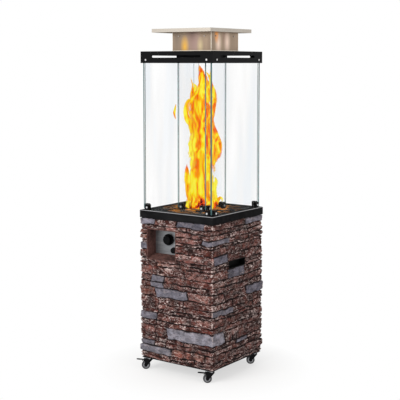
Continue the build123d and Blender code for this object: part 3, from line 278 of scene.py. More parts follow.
# Courses from the top: foot in mm, then front and right stones as (end share, proud share, tone)
COURSES = [
    (671.2, [(-.62, .55, "g"), (0, .75, "b"), (.75, .6, "u"), (1, .8, "b")],
     [(-.3, .8, "b"), (.27, .55, "d"), (1, .7, "g")]),
    (652.0, [(-.3, .35, "b"), (.3, .5, "p"), (1, .3, "d")],
     [(-.4, .3, "p"), (.5, .5, "d"), (1, .35, "b")]),
    (629.0, [(-.79, .7, "t"), (.7, .6, "p"), (1, .85, "b")],
     [(-.37, .85, "b"), (.4, .6, "d"), (1, .7, "b")]),
    (605.3, [(-.79, .75, "t"), (.7, .55, "p"), (1, .8, "g")],
     [(-.37, .8, "g"), (.4, .65, "b"), (1, .75, "d")]),
    (591.2, [(-.79, .2, "d"), (.2, .4, "b"), (1, .3, "d")],
     [(-.5, .3, "d"), (.3, .2, "k"), (1, .35, "b")]),
    (557.9, [(-.79, .6, "g"), (.35, .55, "b"), (.7, .65, "d"), (1, .45, "b")],
     [(-.45, .45, "b"), (.2, .6, "d"), (1, .4, "b")]),
    (520.2, [(-.75, .75, "b"), (0, .6, "p"), (1, .9, "p")],
     [(-.92, .9, "p"), (-.4, .55, "u"), (.28, .6, "d"), (1, .8, "b")]),
    (504.2, [(-.6, .3, "d"), (.1, .45, "b"), (1, .25, "d")],
     [(-.45, .6, "d"), (.25, .55, "k"), (1, .75, "d")]),
    (488.8, [(-.52, .5, "b"), (.3, .65, "t"), (1, .5, "b")],
     [(-.4, .3, "d"), (.3, .4, "d"), (1, .6, "b")]),
    (446.6, [(-.52, .6, "p"), (.25, .8, "b"), (1, .95, "p")],
     [(-.4, .5, "b"), (.26, .85, "u"), (1, .55, "d")]),
    (415.8, [(-.72, .5, "b"), (-.35, .8, "g"), (1, .6, "b")],
     [(-.5, .5, "t"), (.2, .35, "d"), (1, .7, "b")]),
    (390.9, [(-.72, .6, "r"), (-.35, .65, "g"), (.9, .6, "d"), (1, .5, "b")],
     [(-.5, .65, "b"), (.4, .5, "d"), (1, .6, "k")]),
    (349.9, [(-.55, .85, "t"), (.35, .7, "g"), (1, .6, "p")],
     [(-.5, .6, "b"), (.35, .55, "d"), (1, .8, "u")]),
    (317.9, [(-.5, .55, "b"), (.2, .8, "d"), (1, .9, "b")],
     [(-.25, .6, "b"), (.4, .75, "d"), (1, .8, "d")]),
    (291.7, [(-.52, .4, "d"), (.95, .65, "b"), (1, .8, "p")],
     [(-.2, .8, "g"), (.6, .55, "d"), (1, .5, "b")]),
    (275.7, [(-.52, .25, "b"), (.35, .5, "d"), (1, .35, "k")],
     [(-.35, .3, "d"), (.5, .5, "b"), (1, .4, "k")]),
    (240.5, [(-.55, .8, "g"), (.4, .6, "b"), (1, .7, "p")],
     [(-.3, .7, "b"), (.5, .75, "d"), (1, .9, "b")]),
    (216.8, [(-.55, .4, "d"), (.1, .55, "b"), (1, .5, "r")],
     [(-.5, .5, "d"), (.2, .45, "b"), (1, .6, "d")]),
    (165.0, [(-.57, .6, "r"), (-.22, .45, "b"), (1, 1, "v")],
     [(-.52, 1, "v"), (-.2, .6, "d"), (.5, .7, "b"), (1, .6, "d")]),
    (145.8, [(-.6, .4, "d"), (.2, .5, "d"), (1, .4, "b")],
     [(-.08, .5, "d"), (.37, .75, "g"), (1, .6, "b")]),
    (124.0, [(-.62, .6, "g"), (-.3, .35, "d"), (1, .6, "b")],
     [(-.1, .6, "b"), (.4, .65, "d"), (1, .7, "k")]),
    (90.1, [(-.13, .95, "v"), (.8, .75, "t"), (1, .7, "b")],
     [(-.5, .7, "b"), (.3, .8, "d"), (1, .9, "b")]),
    (74.1, [(-.2, .45, "d"), (.5, .6, "b"), (1, .55, "d")],
     [(-.6, .55, "k"), (.2, .4, "d"), (1, .5, "k")]),
    (60.0, [(-.2, .3, "b"), (.4, .4, "d"), (1, .35, "b")],
     [(-.3, .35, "d"), (.5, .3, "k"), (1, .4, "d")]),
]
# The unseen back and left faces take the stones of the front and the right, so many courses down
BORROWED = (0, 0, 9, 13)
# Courses whose feet are the cuts between the four rings of stones
RING_CUTS = (5, 11, 17)
# Openings of the shell as (face, low and high along the face, low and high z, corner radius), in mm.
# Face 0 is the front, and the others follow it round by the right, the back and the left.
OPENINGS = [(0, -162.5, 1, 514, 655, 0), (1, -77, 53, 489, 525, 8), (2, -165, 165, 80, 560, 0),
            (3, -53, 77, 489, 525, 8)]
# The shell from its middle, in mm: the plane of its stones, its cavity, and along a face the end of
# the even columns, the two columns past it, the start of the slide round the corner and the end of
# the cavity's even columns
CORNER = 197.0
CAVITY = 180.0
EVEN_END = 191.0
LAST_COLUMNS = (193.6, 195.6)
SLIDE_START = 170.0
CAVITY_EVEN_END = 165.0
# Distances from the shell's middle, in mm: the face of the flattest stone, the floor of a crevice,
# the planes that the relief settles to at the shell's ends and round an opening, its least and most
FLAT_FACE = 193.4
CREVICE_FLOOR = 191.6
END_PLANE = 193.0
OPENING_PLANE = 199.0
REACH_LIMITS = (190.5, 205.3)
# Heights of the relief, in mm: of the proudest stone over the flattest, of a thin layer from least to
# most, of the two swells of a stone's face, where a slate swells less, and of a crevice's floor; and
# what a course wanders
PROUDEST = 9.3
LAYER_RELIEF = 3.2
CRAG_RELIEF, SLATE_CRAG_RELIEF = 4.4, 3.4
FINE_RELIEF = 2.8
FLOOR_RELIEF = 2.4
COURSE_WANDER = 8.0
# Widths over which the relief falls, in mm: to a seam, to a crevice, to the shell's ends and to an
# opening; what frays the crevices' edges, which start a little outside the stone, and what share of
# the way to an upright joint counts; and where the corner starts to fall away, how wide and how deep
SEAM_WIDTH = 2.2
CREVICE_WIDTH = 4.8
END_WIDTH = 5.0
OPENING_WIDTH = 7.0
EDGE_FRAY = 3.2
EDGE_START = 0.6
JOINT_SHARE = 0.9
CORNER_START, CORNER_WIDTH, CORNER_DROP = 192, 5, 1.6
# Shares of the relief that are left in a crevice, at the shell's ends and at an opening
LEFT_IN_CREVICE, LEFT_AT_ENDS, LEFT_AT_OPENING = 0.12, 0.35, 0.25
# Thin layers: least and most thickness and length in mm, how far they wander, how far their lengths are
# shifted at random and how much their ends fray, in lengths, and how much shallower upright seams are
LAYER_THICKNESS = (17.0, 41.0)
LAYER_LENGTH = (65, 195)
LAYER_WANDER = 11
LAYER_SHIFT = 9
LAYER_FRAY = 0.35
UPRIGHT_SEAM_INSET = 0.8
# How far a joint between two stones of a course may lean, from side to side, for its height, and how
# many numbers each course has for its stones
JOINT_LEAN = 0.6
SERIALS = 8
# The painted shade of the crevices: least and most width of the dark of a crevice, as it gapes, and
# where it starts inside the stone's edge, in mm; how much and round what middle it gapes; how dark the
# painted shade along seams is, over what width in mm; and how much a hill lightens a crevice
DARK_WIDTHS = (1.6, 7.0)
DARK_START = 0.2
GAPE_SPREAD, GAPE_MIDDLE = 2.6, 0.45
SEAM_DARK, SEAM_DARK_WIDTH = 0.2, 2.0
CRAG_LIGHT = 0.4
# What makes the painted highlight on a ridge: the heights of layers, hills and roughness, in mm, of
# which so many give the full brightness, and the shares that the corner and the rim of a stone add
BRIGHT_LAYER, BRIGHT_CRAG, BRIGHT_FINE, FULL_BRIGHT = 2.6, 4.2, 3.0, 3.0
BRIGHT_CORNER, BRIGHT_RIM = 1.1, 0.55
# The painted highlight along a stone's upper and lower rim, in mm from its edge, its half width, and
# how many times closer to the edge the lower one lies
RIM_PLACE, RIM_WIDTH, LOWER_RIM = 5.5, 2.8, 1.4
# Least and most of the shade that a thin layer and a stone lend to the stone's tone, and how much of
# it counts
LAYER_SHADES = (0.9, 1.1)
STONE_SHADES = (0.72, 1.28)
SHADE_SHARE = 0.6
# Grit of a stone: so many times its roughness less the other, which is 1 on the craggy ones
GRIT_GAIN, GRIT_LOSS = 1.6, 0.6
# Tone, painted crevice shade, painted ridge highlight and grit of the inside of the shell
INSIDE_TONE, INSIDE_VALUES = "5A4A44", (0.3, 0.0, 0.5)
# Smooth noises of the stones as (cell along x, y and z in mm, seed, octaves)
SWELLS = {
    "course": ((34.0, 34.0, 60.0), 3, 1),   # bends the courses
    "layer": ((52.0, 52.0, 18.0), 21, 1),   # bends the thin layers
    "break": ((9.0, 9.0, 5.0), 35, 1),      # frays the ends of the layers' lengths
    "crag": ((28.0, 28.0, 14.0), 41, 3),    # hills of a stone's face
    "fine": ((8.0, 8.0, 4.0), 51, 2),       # its small roughness
    "edge": ((10.0, 10.0, 8.0), 61, 2),     # frays the edges of a stone
    "gape": ((48.0, 48.0, 17.0), 81, 2),    # where crevices are wide and dark
}


def swell(place, name):
    """One of the smooth noises of the stones, from -0.5 to 0.5, over places in mm."""
    cell, seed, octaves = SWELLS[name]
    return clouds(place / cell, seed, octaves) - 0.5


def settled(reach, plane, share, rise):
    """Draws a relief towards a plane: a share of it is left where rise is 0, all of it where it is 1."""
    return plane + (reach - plane) * (share + (1 - share) * rise)


def stone_grid(column_step, row_step):
    """Columns of the relief, taken along the four faces in turn, the face of each, and its rows in z.
    The column or row nearest to an edge of an opening is moved onto it, and so for the rings' cuts."""
    columns, face_of = [], []
    for face in range(4):
        even = np.linspace(-EVEN_END, EVEN_END, round(2 * EVEN_END / column_step) + 1)
        for where, low, high, *_ in OPENINGS:
            for edge in (low, high) if where == face else ():
                even[np.argmin(abs(even - edge))] = edge
        first_columns = [-CORNER] + [-column for column in reversed(LAST_COLUMNS)]
        columns.append(np.concatenate([first_columns, even, LAST_COLUMNS]))
        face_of.append(np.full(len(columns[-1]), face))
    rows = round((TOP_OF_STONES - FLOOR_OF_STONES) / row_step)
    z = np.linspace(FLOOR_OF_STONES, TOP_OF_STONES, rows + 1)
    cuts = [COURSES[number][0] for number in RING_CUTS]
    for edge in [opening[i] for opening in OPENINGS for i in (3, 4)] + cuts:
        z[np.argmin(abs(z - edge))] = edge
    splits = [0] + sorted(int(np.argmin(abs(z - cut))) for cut in cuts) + [len(z) - 1]
    return np.concatenate(columns), np.concatenate(face_of), z, splits


def wall(flat, z):
    """Points of an upright wall by row and column, from a flat place for each column or each of both."""
    points = np.empty((len(z), flat.shape[-2], 3))
    points[..., :2] = flat
    points[..., 2] = z[:, None]
    return points


def stones_at(face, number, slant):
    """Looks up the stone at each point by its course's number and its slanted place along the face: the
    stone's proud share, tone, roughness and serial number, and how far off its nearest joint is."""
    proud, rough, joint = (np.zeros(number.shape) for _ in range(3))
    tone, serial = np.zeros(number.shape + (3,)), np.zeros(number.shape, int)
    for course in range(len(COURSES)):
        stones = COURSES[(course + BORROWED[face]) % len(COURSES)][1 + face % 2]
        ends, shares, letters = zip(*stones)
        ends = np.array(ends) * CORNER
        here = number == course
        place = slant[here]
        index = np.clip(np.searchsorted(ends, place, side="left"), 0, len(stones) - 1)
        proud[here] = np.array(shares, float)[index]
        tone[here] = np.array([linear(TONES[letter])[:3] for letter in letters])[index]
        rough[here] = np.array([SLATE_ROUGHNESS if letter in SLATES else 1.0 for letter in letters])[index]
        joint[here] = np.min(abs(place[:, None] - ends[:-1]), axis=-1)
        serial[here] = course * SERIALS + index
    return proud, tone, rough, serial, joint


def layers_at(perimeter, z, place, serial):
    """Splits each stone into thin layers, of a random thickness for each stone, and each layer into
    lengths, of a random length for each layer: their numbers, and how far off the nearest seam is."""
    thick = between(*LAYER_THICKNESS, drawn(9, serial, 0, 2))
    lift = z[:, None] + LAYER_WANDER * swell(place, "layer")
    layer = np.floor(lift / thick)
    within = lift / thick - layer
    length = between(*LAYER_LENGTH, drawn(31, layer, serial, 1))
    run = perimeter / length + LAYER_SHIFT * drawn(33, layer, serial, 5)
    run = run + LAYER_FRAY * swell(place, "break")
    piece = np.floor(run)
    flat_seam = np.minimum(within, 1 - within) * thick
    upright_seam = np.minimum(run - piece, 1 - run + piece) * length + UPRIGHT_SEAM_INSET
    return layer, piece, np.minimum(flat_seam, upright_seam)


def stone_relief(face, along, z, place):
    """H, the stone's tone, its painted crevice shade, its painted ridge highlight and its grit, for each
    point of a face.

    H is the stone's own face, raised by its thin layers and by two sizes of smooth noise, and it falls
    to the crevice near the edge of its stone, and a little at each seam of its layers. It settles to a
    plane at an opening and at the foot and head. Crevices get painted shade for as wide as they gape,
    and ridges a painted highlight where the relief is high, by the corner and by the rim of the stone."""
    level = z[:, None] + COURSE_WANDER * swell(place, "course")
    feet = np.array([course[0] for course in COURSES])
    above = np.searchsorted(np.append(feet[::-1], TOP_OF_STONES), level, side="right")
    number = len(feet) - np.clip(above, 1, len(feet))
    low, high = feet[number], np.append(TOP_OF_STONES, feet)[number]
    slant = along + (level - low) * (drawn(5, number, 0, 7) - 0.5) * JOINT_LEAN
    proud, tone, rough, serial, joint = stones_at(face, number, slant)
    layer, piece, seam = layers_at(along + face * 2 * CORNER, z, place, serial)

    step = drawn(37, layer, piece, serial) - 0.5
    crag, fine = swell(place, "crag"), swell(place, "fine")
    body = FLAT_FACE + PROUDEST * proud + rough * (LAYER_RELIEF * step + CRAG_RELIEF * crag)
    body = body + FINE_RELIEF * fine + (1 - rough) * SLATE_CRAG_RELIEF * crag
    body = body - rough * (1 - fade(seam, SEAM_WIDTH))
    edge = np.minimum(np.minimum(level - low, high - level), JOINT_SHARE * joint)
    edge = edge + EDGE_FRAY * swell(place, "edge")
    closed = fade(edge + EDGE_START, CREVICE_WIDTH)
    reach = settled(body, CREVICE_FLOOR + FLOOR_RELIEF * crag, LEFT_IN_CREVICE, closed)
    border = np.minimum(z - FLOOR_OF_STONES, TOP_OF_STONES - z)[:, None]
    reach = settled(reach, END_PLANE, LEFT_AT_ENDS, fade(border, END_WIDTH))
    for where, low_u, high_u, low_z, high_z, _ in OPENINGS:
        if where == face:
            away = np.hypot(outside(along, low_u, high_u), outside(z, low_z, high_z)[:, None])
            reach = settled(reach, OPENING_PLANE, LEFT_AT_OPENING, fade(away, OPENING_WIDTH))
    near = ramped(abs(along), CORNER_START, CORNER_WIDTH)
    reach = np.clip(reach - CORNER_DROP * near ** 2, *REACH_LIMITS)

    # Painted shade: dark in the crevices and along the seams, lighter on the hills
    gape = np.clip(GAPE_SPREAD * swell(place, "gape") + GAPE_MIDDLE, 0, 1)
    dark = 1 - fade(edge - DARK_START, between(*DARK_WIDTHS, gape))
    dark = dark + rough * SEAM_DARK * gape * (1 - fade(seam, SEAM_DARK_WIDTH))
    dark = np.clip(dark - CRAG_LIGHT * crag, 0, 1)
    # Painted highlight: a line along the rim, and light where the relief is high and near the corner
    rim = np.minimum(high - level, LOWER_RIM * (level - low))
    rim = np.clip(1 - abs(rim - RIM_PLACE) / RIM_WIDTH, 0, 1)
    raised = (rough * BRIGHT_LAYER * step + BRIGHT_CRAG * crag + BRIGHT_FINE * fine) / FULL_BRIGHT
    bright = np.clip(raised + BRIGHT_CORNER * near + BRIGHT_RIM * rim, 0, 1) * closed
    shade = between(*LAYER_SHADES, drawn(71, layer, piece, 3))
    shade = shade * between(*STONE_SHADES, drawn(73, serial, 0, face))
    tone = tone * between(1, shade, SHADE_SHARE)[..., None]
    grit = np.clip(GRIT_GAIN * rough - GRIT_LOSS, 0, 1)
    return reach, tone, dark, bright, grit


def cells_kept(u, face_of, z):
    """Whether the middle of each cell of the grid lies outside every opening of the shell."""
    next_u = np.where(np.append(face_of[1:], -1) == face_of, np.append(u[1:], 0), CORNER)
    mid_u, mid_z = (u + next_u) / 2, ((z[:-1] + z[1:]) / 2)[:, None]
    kept = np.ones((len(z) - 1, len(u)), bool)
    for where, low_u, high_u, low_z, high_z, radius in OPENINGS:
        in_u = (mid_u > low_u) & (mid_u < high_u) & (face_of == where)
        in_z = (mid_z > low_z) & (mid_z < high_z)
        past = np.hypot(outside(mid_u, low_u + radius, high_u - radius),
                        outside(mid_z, low_z + radius, high_z - radius))
        kept &= ~(in_u & in_z & (past <= radius + 1e-6))
    return kept


def stone_courses(column_step, row_step):
    """The four rings of stones round the shell, from the foot up, on a grid of columns, taken round the
    four faces, and of rows in z.

    Outside, each point lies along its face at its column and at the distance H from the shell's middle
    plane. Next to a corner it slides along the face to the H of the face round the corner. Inside, it
    lies on the plain cavity."""
    u, face_of, z, splits = stone_grid(column_step, row_step)
    turn = face_of * math.pi / 2
    across, out = np.stack([np.cos(turn), np.sin(turn)], -1), np.stack([np.sin(turn), -np.cos(turn)], -1)
    place = wall(across * u[:, None] + out * CORNER, z)
    faces = [face_of == face for face in range(4)]
    parts = [stone_relief(face, u[here], z, place[:, here]) for face, here in enumerate(faces)]
    H, tone, dark, bright, grit = (np.concatenate(part, axis=1) for part in zip(*parts))

    first = [int(np.argmax(here)) for here in faces]
    target = np.empty(H.shape)
    for face, here in enumerate(faces):
        before, after = H[:, [first[face]]], H[:, [first[(face + 1) % 4]]]
        target[:, here] = np.where(u[here] > 0, after, before)
    slide = fade(np.maximum(abs(u) - SLIDE_START, 0), CORNER - SLIDE_START)
    shift = u + np.sign(u) * slide * (target - CORNER)
    outer = wall(across * shift[..., None] + out * H[..., None], z)
    squeeze = (CAVITY - CAVITY_EVEN_END) / (CORNER - CAVITY_EVEN_END)
    held = np.where(abs(u) <= CAVITY_EVEN_END, u,
                    np.sign(u) * (CAVITY_EVEN_END + (abs(u) - CAVITY_EVEN_END) * squeeze))
    inner = wall(across * held[:, None] + out * CAVITY, z)

    kept = cells_kept(u, face_of, z)
    by_row = (outer, inner, tone, dark, bright, grit)
    return [ring_mesh(kept[low:high], *(part[low:high + 1] for part in by_row))
            for low, high in zip(splits[:-1], splits[1:])]


def ring_mesh(kept, outer, inner, tone, dark, bright, grit):
    """Points, faces and attributes of one closed ring: a quad outside and inside for each cell kept,
    and a wall quad from outside to inside wherever the next cell along, or above, isn't kept."""
    rows, count = outer.shape[:2]
    layer = rows * count
    r, c = np.meshgrid(np.arange(rows - 1), np.arange(count), indexing="ij")
    right = (c + 1) % count
    a, b, d, e = r * count + c, r * count + right, (r + 1) * count + right, (r + 1) * count + c
    faces = [np.stack([a, b, d, e], -1)[kept], np.stack([e, d, b, a], -1)[kept] + layer]
    empty = np.zeros((1, count), bool)
    below, above = np.concatenate([empty, kept[:-1]]), np.concatenate([kept[1:], empty])
    after, before = np.roll(kept, -1, 1), np.roll(kept, 1, 1)
    for beside, p, q in ((below, a, b), (above, d, e), (after, b, d), (before, e, a)):
        faces.append(np.stack([q, p, p + layer, q + layer], -1)[kept & ~beside])
    points = np.concatenate([outer.reshape(-1, 3), inner.reshape(-1, 3)])
    used, fresh = np.unique(np.concatenate(faces), return_inverse=True)
    inside_tone = np.broadcast_to(linear(INSIDE_TONE)[:3], (layer, 3))
    tone = np.concatenate([tone.reshape(-1, 3), inside_tone])
    attributes = {"stone_tone": np.concatenate([tone, np.ones((2 * layer, 1))], axis=1)[used]}
    # crevice carries the painted shade and ridge the painted highlight to the material
    by_name = {"crevice": dark, "ridge": bright, "grit": grit}
    for (name, values), inside in zip(by_name.items(), INSIDE_VALUES):
        attributes[name] = np.concatenate([values.ravel(), np.full(layer, inside)])[used]
    return points[used], fresh.reshape(-1, 4), attributes


def ledge_stone():
    """Cast ledge stone, brushed by hand with colour: each stone has its own tone, blotched, specked and
    browned with rust. Near-black crevices and pits are painted shade. Pinkish light flecks and veins on
    the ridges, brightest on the highest ones, are a painted highlight over a gritty bump. The slates keep
    an even, smoother face. Real grit is too fine to show, so specks and flakes are drawn 8 to 13 mm wide."""
    material, tree, shader = new_material("cast_ledge_stone", Roughness=0.9, **{"Specular IOR Level": 0.2})
    tone = add(tree, "Attribute", attribute_name="stone_tone")
    crevice, ridge, grit = (add(tree, "Attribute", attribute_name=name).outputs["Fac"]
                            for name in ("crevice", "ridge", "grit"))
    blotch = grain(tree, 30, (1.3, 1.3, 0.9), detail=5.0)
    speck = grain(tree, 8, (1.5, 1.5, 0.9), detail=5.0, roughness=0.7)
    flake = grain(tree, 13, (1.4, 1.4, 0.8), detail=5.0, roughness=0.66)
    both = add(tree, "Math", (flake, speck), operation="ADD")

    rust = add(tree, "MapRange", (grain(tree, 48, (1.3, 1.3, 0.7)), 0.42, 0.6, 0.1, 0.7))
    rust = add(tree, "Math", (rust, grit), operation="MULTIPLY")
    shade = add(tree, "ValToRGB", [blotch],
                [(0.38, linear("4C3F3E")), (0.5, linear("A89894")), (0.62, linear("FFF4F0"))])
    shaded = add(tree, "MapRange", (grit, 0, 1, 0.55, 0.95))
    base = tone
    for share, tint in ((rust, linear("E0A098")), (shaded, shade)):
        base = add(tree, "Mix", {0: share, 6: base, 7: tint}, data_type="RGBA",
                   blend_type="MULTIPLY").outputs[2]
    # Painted shade in the pits, where the bump is low
    pits = add(tree, "Math", (add(tree, "MapRange", (flake, 0.39, 0.455, 0.85, 0.0)),
                              add(tree, "MapRange", (grit, 0, 1, 0.45, 1))), operation="MULTIPLY")
    base = add(tree, "Mix", {0: pits, 6: base, 7: linear("1E0E0B")}, data_type="RGBA").outputs[2]

    # Painted highlight: light flecks and veins where the bump is high, kept to the ridges
    vein = grain(tree, 21, (1.7, 1.7, 0.7), detail=4.0, roughness=0.65)
    vein = add(tree, "Math", (vein, 0.5), operation="SUBTRACT")
    vein = add(tree, "Math", [vein], operation="ABSOLUTE")
    vein = add(tree, "MapRange", (vein, 0.004, 0.022, 0.85, 0.0))
    lights = add(tree, "MapRange", (both, 1.08, 1.2, 0.0, 0.85))
    lights = add(tree, "Math", (lights, vein), operation="MAXIMUM")
    for dimmed in ((ridge, 0.0, 0.6, 0.25, 1.0), (grit, 0, 1, 0.25, 1)):
        lights = add(tree, "Math", (lights, add(tree, "MapRange", dimmed)), operation="MULTIPLY")
    # Painted highlight on the highest ridges
    painted_highlight = add(tree, "Math", (add(tree, "MapRange", (ridge, 0.8, 1.0, 0.0, 0.75)),
                              add(tree, "MapRange", (both, 0.92, 1.06, 0.0, 1.0))), operation="MULTIPLY")
    lights = add(tree, "Math", (lights, painted_highlight), operation="MAXIMUM")
    base = add(tree, "Mix", {0: lights, 6: base, 7: linear("E8D3CE")}, data_type="RGBA").outputs[2]
    # Painted shade: near-black in the crevices
    hollows = add(tree, "MapRange", (crevice, 0.3, 0.8, 0.0, 0.97))
    base = add(tree, "Mix", {0: hollows, 6: base, 7: linear("120A09")}, data_type="RGBA").outputs[2]
    tree.links.new(base, shader.inputs["Base Color"])
    height = add(tree, "Bump", {"Height": both, "Strength": 1.0, "Distance": 3.0 * MM})
    tree.links.new(height.outputs[0], shader.inputs["Normal"])
    return material


# Upright panes in mm: the inner face of the side panes along X, their ends along Y, and the ends
# along X of the front and back panes
OUTER_PANES = (182.0, 187.0, 179.0)
INNER_PANES = (74.2, 78.2, 72.7)


def edge_mask(tree, inner, outer, end):
    """1 on the cut ends of upright panes: past outer along Y on the side panes, which start at inner
    along X, and past end along X on the front and back panes, which lie short of inner. In mm."""
    split = add(tree, "SeparateXYZ", [add(tree, "TexCoord").outputs["Object"]])
    far = [add(tree, "Math", [split.outputs[axis]], operation="ABSOLUTE") for axis in (0, 1)]
    limits = ((far[0], inner - 0.5), (far[1], outer - 0.25), (far[0], end - 0.25))
    wide, side, front = (add(tree, "Math", (value, limit * MM), operation="GREATER_THAN")
                         for value, limit in limits)
    side = add(tree, "Math", (side, wide), operation="MULTIPLY")
    front = add(tree, "Math", (front, wide), operation="SUBTRACT")
    return add(tree, "Math", (side, front), operation="MAXIMUM")


def pane_glass(name, panes):
    """Clear float glass: straight through with a faint uneven grey, a sharp gloss that grows towards
    grazing angles, and the green-blue line of its cut ends, fainter through the panes in front."""
    material = bpy.data.materials.new(name)
    tree = cleared(material)
    light = add(tree, "LightPath").outputs
    tint = add(tree, "ValToRGB", [grain(tree, 90, (1, 1, 6), detail=1.0)],
               [(0.36, linear("FBFCFD")), (0.5, linear("FDFDFD")), (0.62, linear("FFFFFF"))])
    sheer = add(tree, "BsdfTransparent", {"Color": tint})
    clear = add(tree, "BsdfRefraction", {"Color": tint, "IOR": 1.0, "Roughness": 0.0})
    gloss = add(tree, "BsdfGlossy", {"Color": linear("FFFFFF"), "Roughness": 0.0})
    behind = add(tree, "NewGeometry").outputs["Backfacing"]
    strength = add(tree, "Math", (add(tree, "Fresnel", {"IOR": 1.5}),
                                  add(tree, "MapRange", (behind, 0, 1, 0.16, 0))), operation="MULTIPLY")
    body = add(tree, "MixShader", (strength, clear, gloss))
    body = add(tree, "MixShader", (light["Is Shadow Ray"], body, sheer))
    edge = add(tree, "BsdfPrincipled", {"Base Color": linear("3B5A5C"), "Roughness": 0.25, "IOR": 1.5})
    near = add(tree, "MapRange", (light["Transmission Depth"], 3.0, 5.0, 1.0, 0.25))
    share = add(tree, "Math", (edge_mask(tree, *panes), near), operation="MULTIPLY")
    add(tree, "OutputMaterial", {"Surface": add(tree, "MixShader", (share, body, edge))})
    return material


def flame_light():
    """Burning gas: its own light, from red at the rim through orange to yellow in the heart, which
    thins out at its edge."""
    material = bpy.data.materials.new("propane_flame")
    tree = cleared(material)
    heat, thick = (add(tree, "Attribute", attribute_name=name).outputs["Fac"] for name in ("burn", "film"))
    colours = ((0.0, "4A0A04"), (0.05, "A81C04"), (0.1, "DE3405"), (0.22, "F65C04"), (0.42, "FE8E06"),
               (0.62, "FFC20A"), (0.8, "FFE412"), (1.0, "FFF344"))
    colour = add(tree, "ValToRGB", [heat], [(place, linear(code)) for place, code in colours])
    glow = add(tree, "Emission", {"Color": colour, "Strength": 1.0})
    mixed = add(tree, "MixShader", (thick, add(tree, "BsdfTransparent"), glow))
    add(tree, "OutputMaterial", {"Surface": mixed})
    return material


# Cells of the flame's noises sideways, in depth and along its height, in mm, and how far streaks bend
BEND_CELL = (80, 90, 95)
STREAK_CELL = (11, 18, 100)
THREAD_CELL = (15, 20, 95)
HOLLOW_CELL = (13, 13, 22)
BEND = 46
# The ragged edge of a tongue: the noise's cells across and along it, in mm, its turn round it, and the
# least share of the width that is left and how much the noise adds
RAG_CELL, RAG_TURN = (14, 42), 1.4
RAG_LEAST, RAG_MORE = 0.72, 0.56
# Height of the flame over its foot, of its foot over the deck and of the hollows at its foot, in mm
FLAME_HEIGHT = 640
FLAME_FOOT = 1.0
HOLLOW_HEIGHT = 62
# What streaks and threads add to a tongue's heat, what is added everywhere and the least heat
STREAK_HEAT, THREAD_HEAT, ADDED_HEAT, LEAST_HEAT = 1.6, 0.55, 0.21, 0.17
# What the tip, the rim, the hollows and the right side take from it; and where the right side starts
# and over how much more it fades in, sideways and along the height, in mm
TIP_LOSS, RIM_LOSS, HOLLOW_LOSS, RIGHT_LOSS = 0.3, 0.25, 0.95, 0.22
RIGHT_ACROSS, RIGHT_UP = (18, 30), (120, 120)
# How dense its light is: so many times its streaks less a limit, with shares of how far inward of the
# rim it lies and of its threads; and it thins out at one part in so many of its length, at the tip
FILM_GAIN, FILM_LIMIT, FILM_INWARD, FILM_THREAD, FILM_TIP = 4, 0.6, 1.15, 0.25, 8


def burning(side, back, rise, share, facing, seed, heat, solid):
    """How hot and how dense the light is at each point of a tongue.

    Heat is the tongue's own, brighter on streaks and on thin threads drawn out along the height, and
    less towards the tip, on the right above the foot, at the rim and in dark hollows at the foot. The
    light is dense where the surface faces the front or a streak runs, and thin at the rim and tip."""
    def noise(shift, cell, seed, octaves):
        return clouds(np.stack([side + shift, back, rise], -1) / cell, seed, octaves)

    bend = BEND * noise(0, BEND_CELL, seed + 3, 2)
    streak = noise(bend, STREAK_CELL, seed + 7, 3)
    thread = (1 - np.minimum(abs(noise(-bend, THREAD_CELL, 90, 2) - 0.5) * 8, 1)) ** 1.5
    level = np.clip(rise / FLAME_HEIGHT, 0, 1)
    inward = 1 - np.sqrt(1 - np.minimum(facing, 1) ** 2)
    heat = heat - RIGHT_LOSS * ramped(side, *RIGHT_ACROSS) * ramped(rise, *RIGHT_UP)
    glow = heat + STREAK_HEAT * (streak - 0.5) + THREAD_HEAT * thread + ADDED_HEAT
    glow = glow - TIP_LOSS * level ** 1.5 - RIM_LOSS * (1 - inward) ** 4
    hollow = np.clip((noise(0, HOLLOW_CELL, 120, 2) - 0.4) * 6, 0, 1)
    foot = np.clip(1.15 - rise / HOLLOW_HEIGHT, 0, 1)
    glow = np.clip(np.clip(glow, LEAST_HEAT, 1) - HOLLOW_LOSS * foot * hollow, 0, 1)
    film = streak - FILM_LIMIT + FILM_INWARD * inward + FILM_THREAD * thread
    film = np.clip(solid * FILM_GAIN * film, 0, 1)
    return glow, film * np.clip((1 - share) * FILM_TIP, 0, 1)


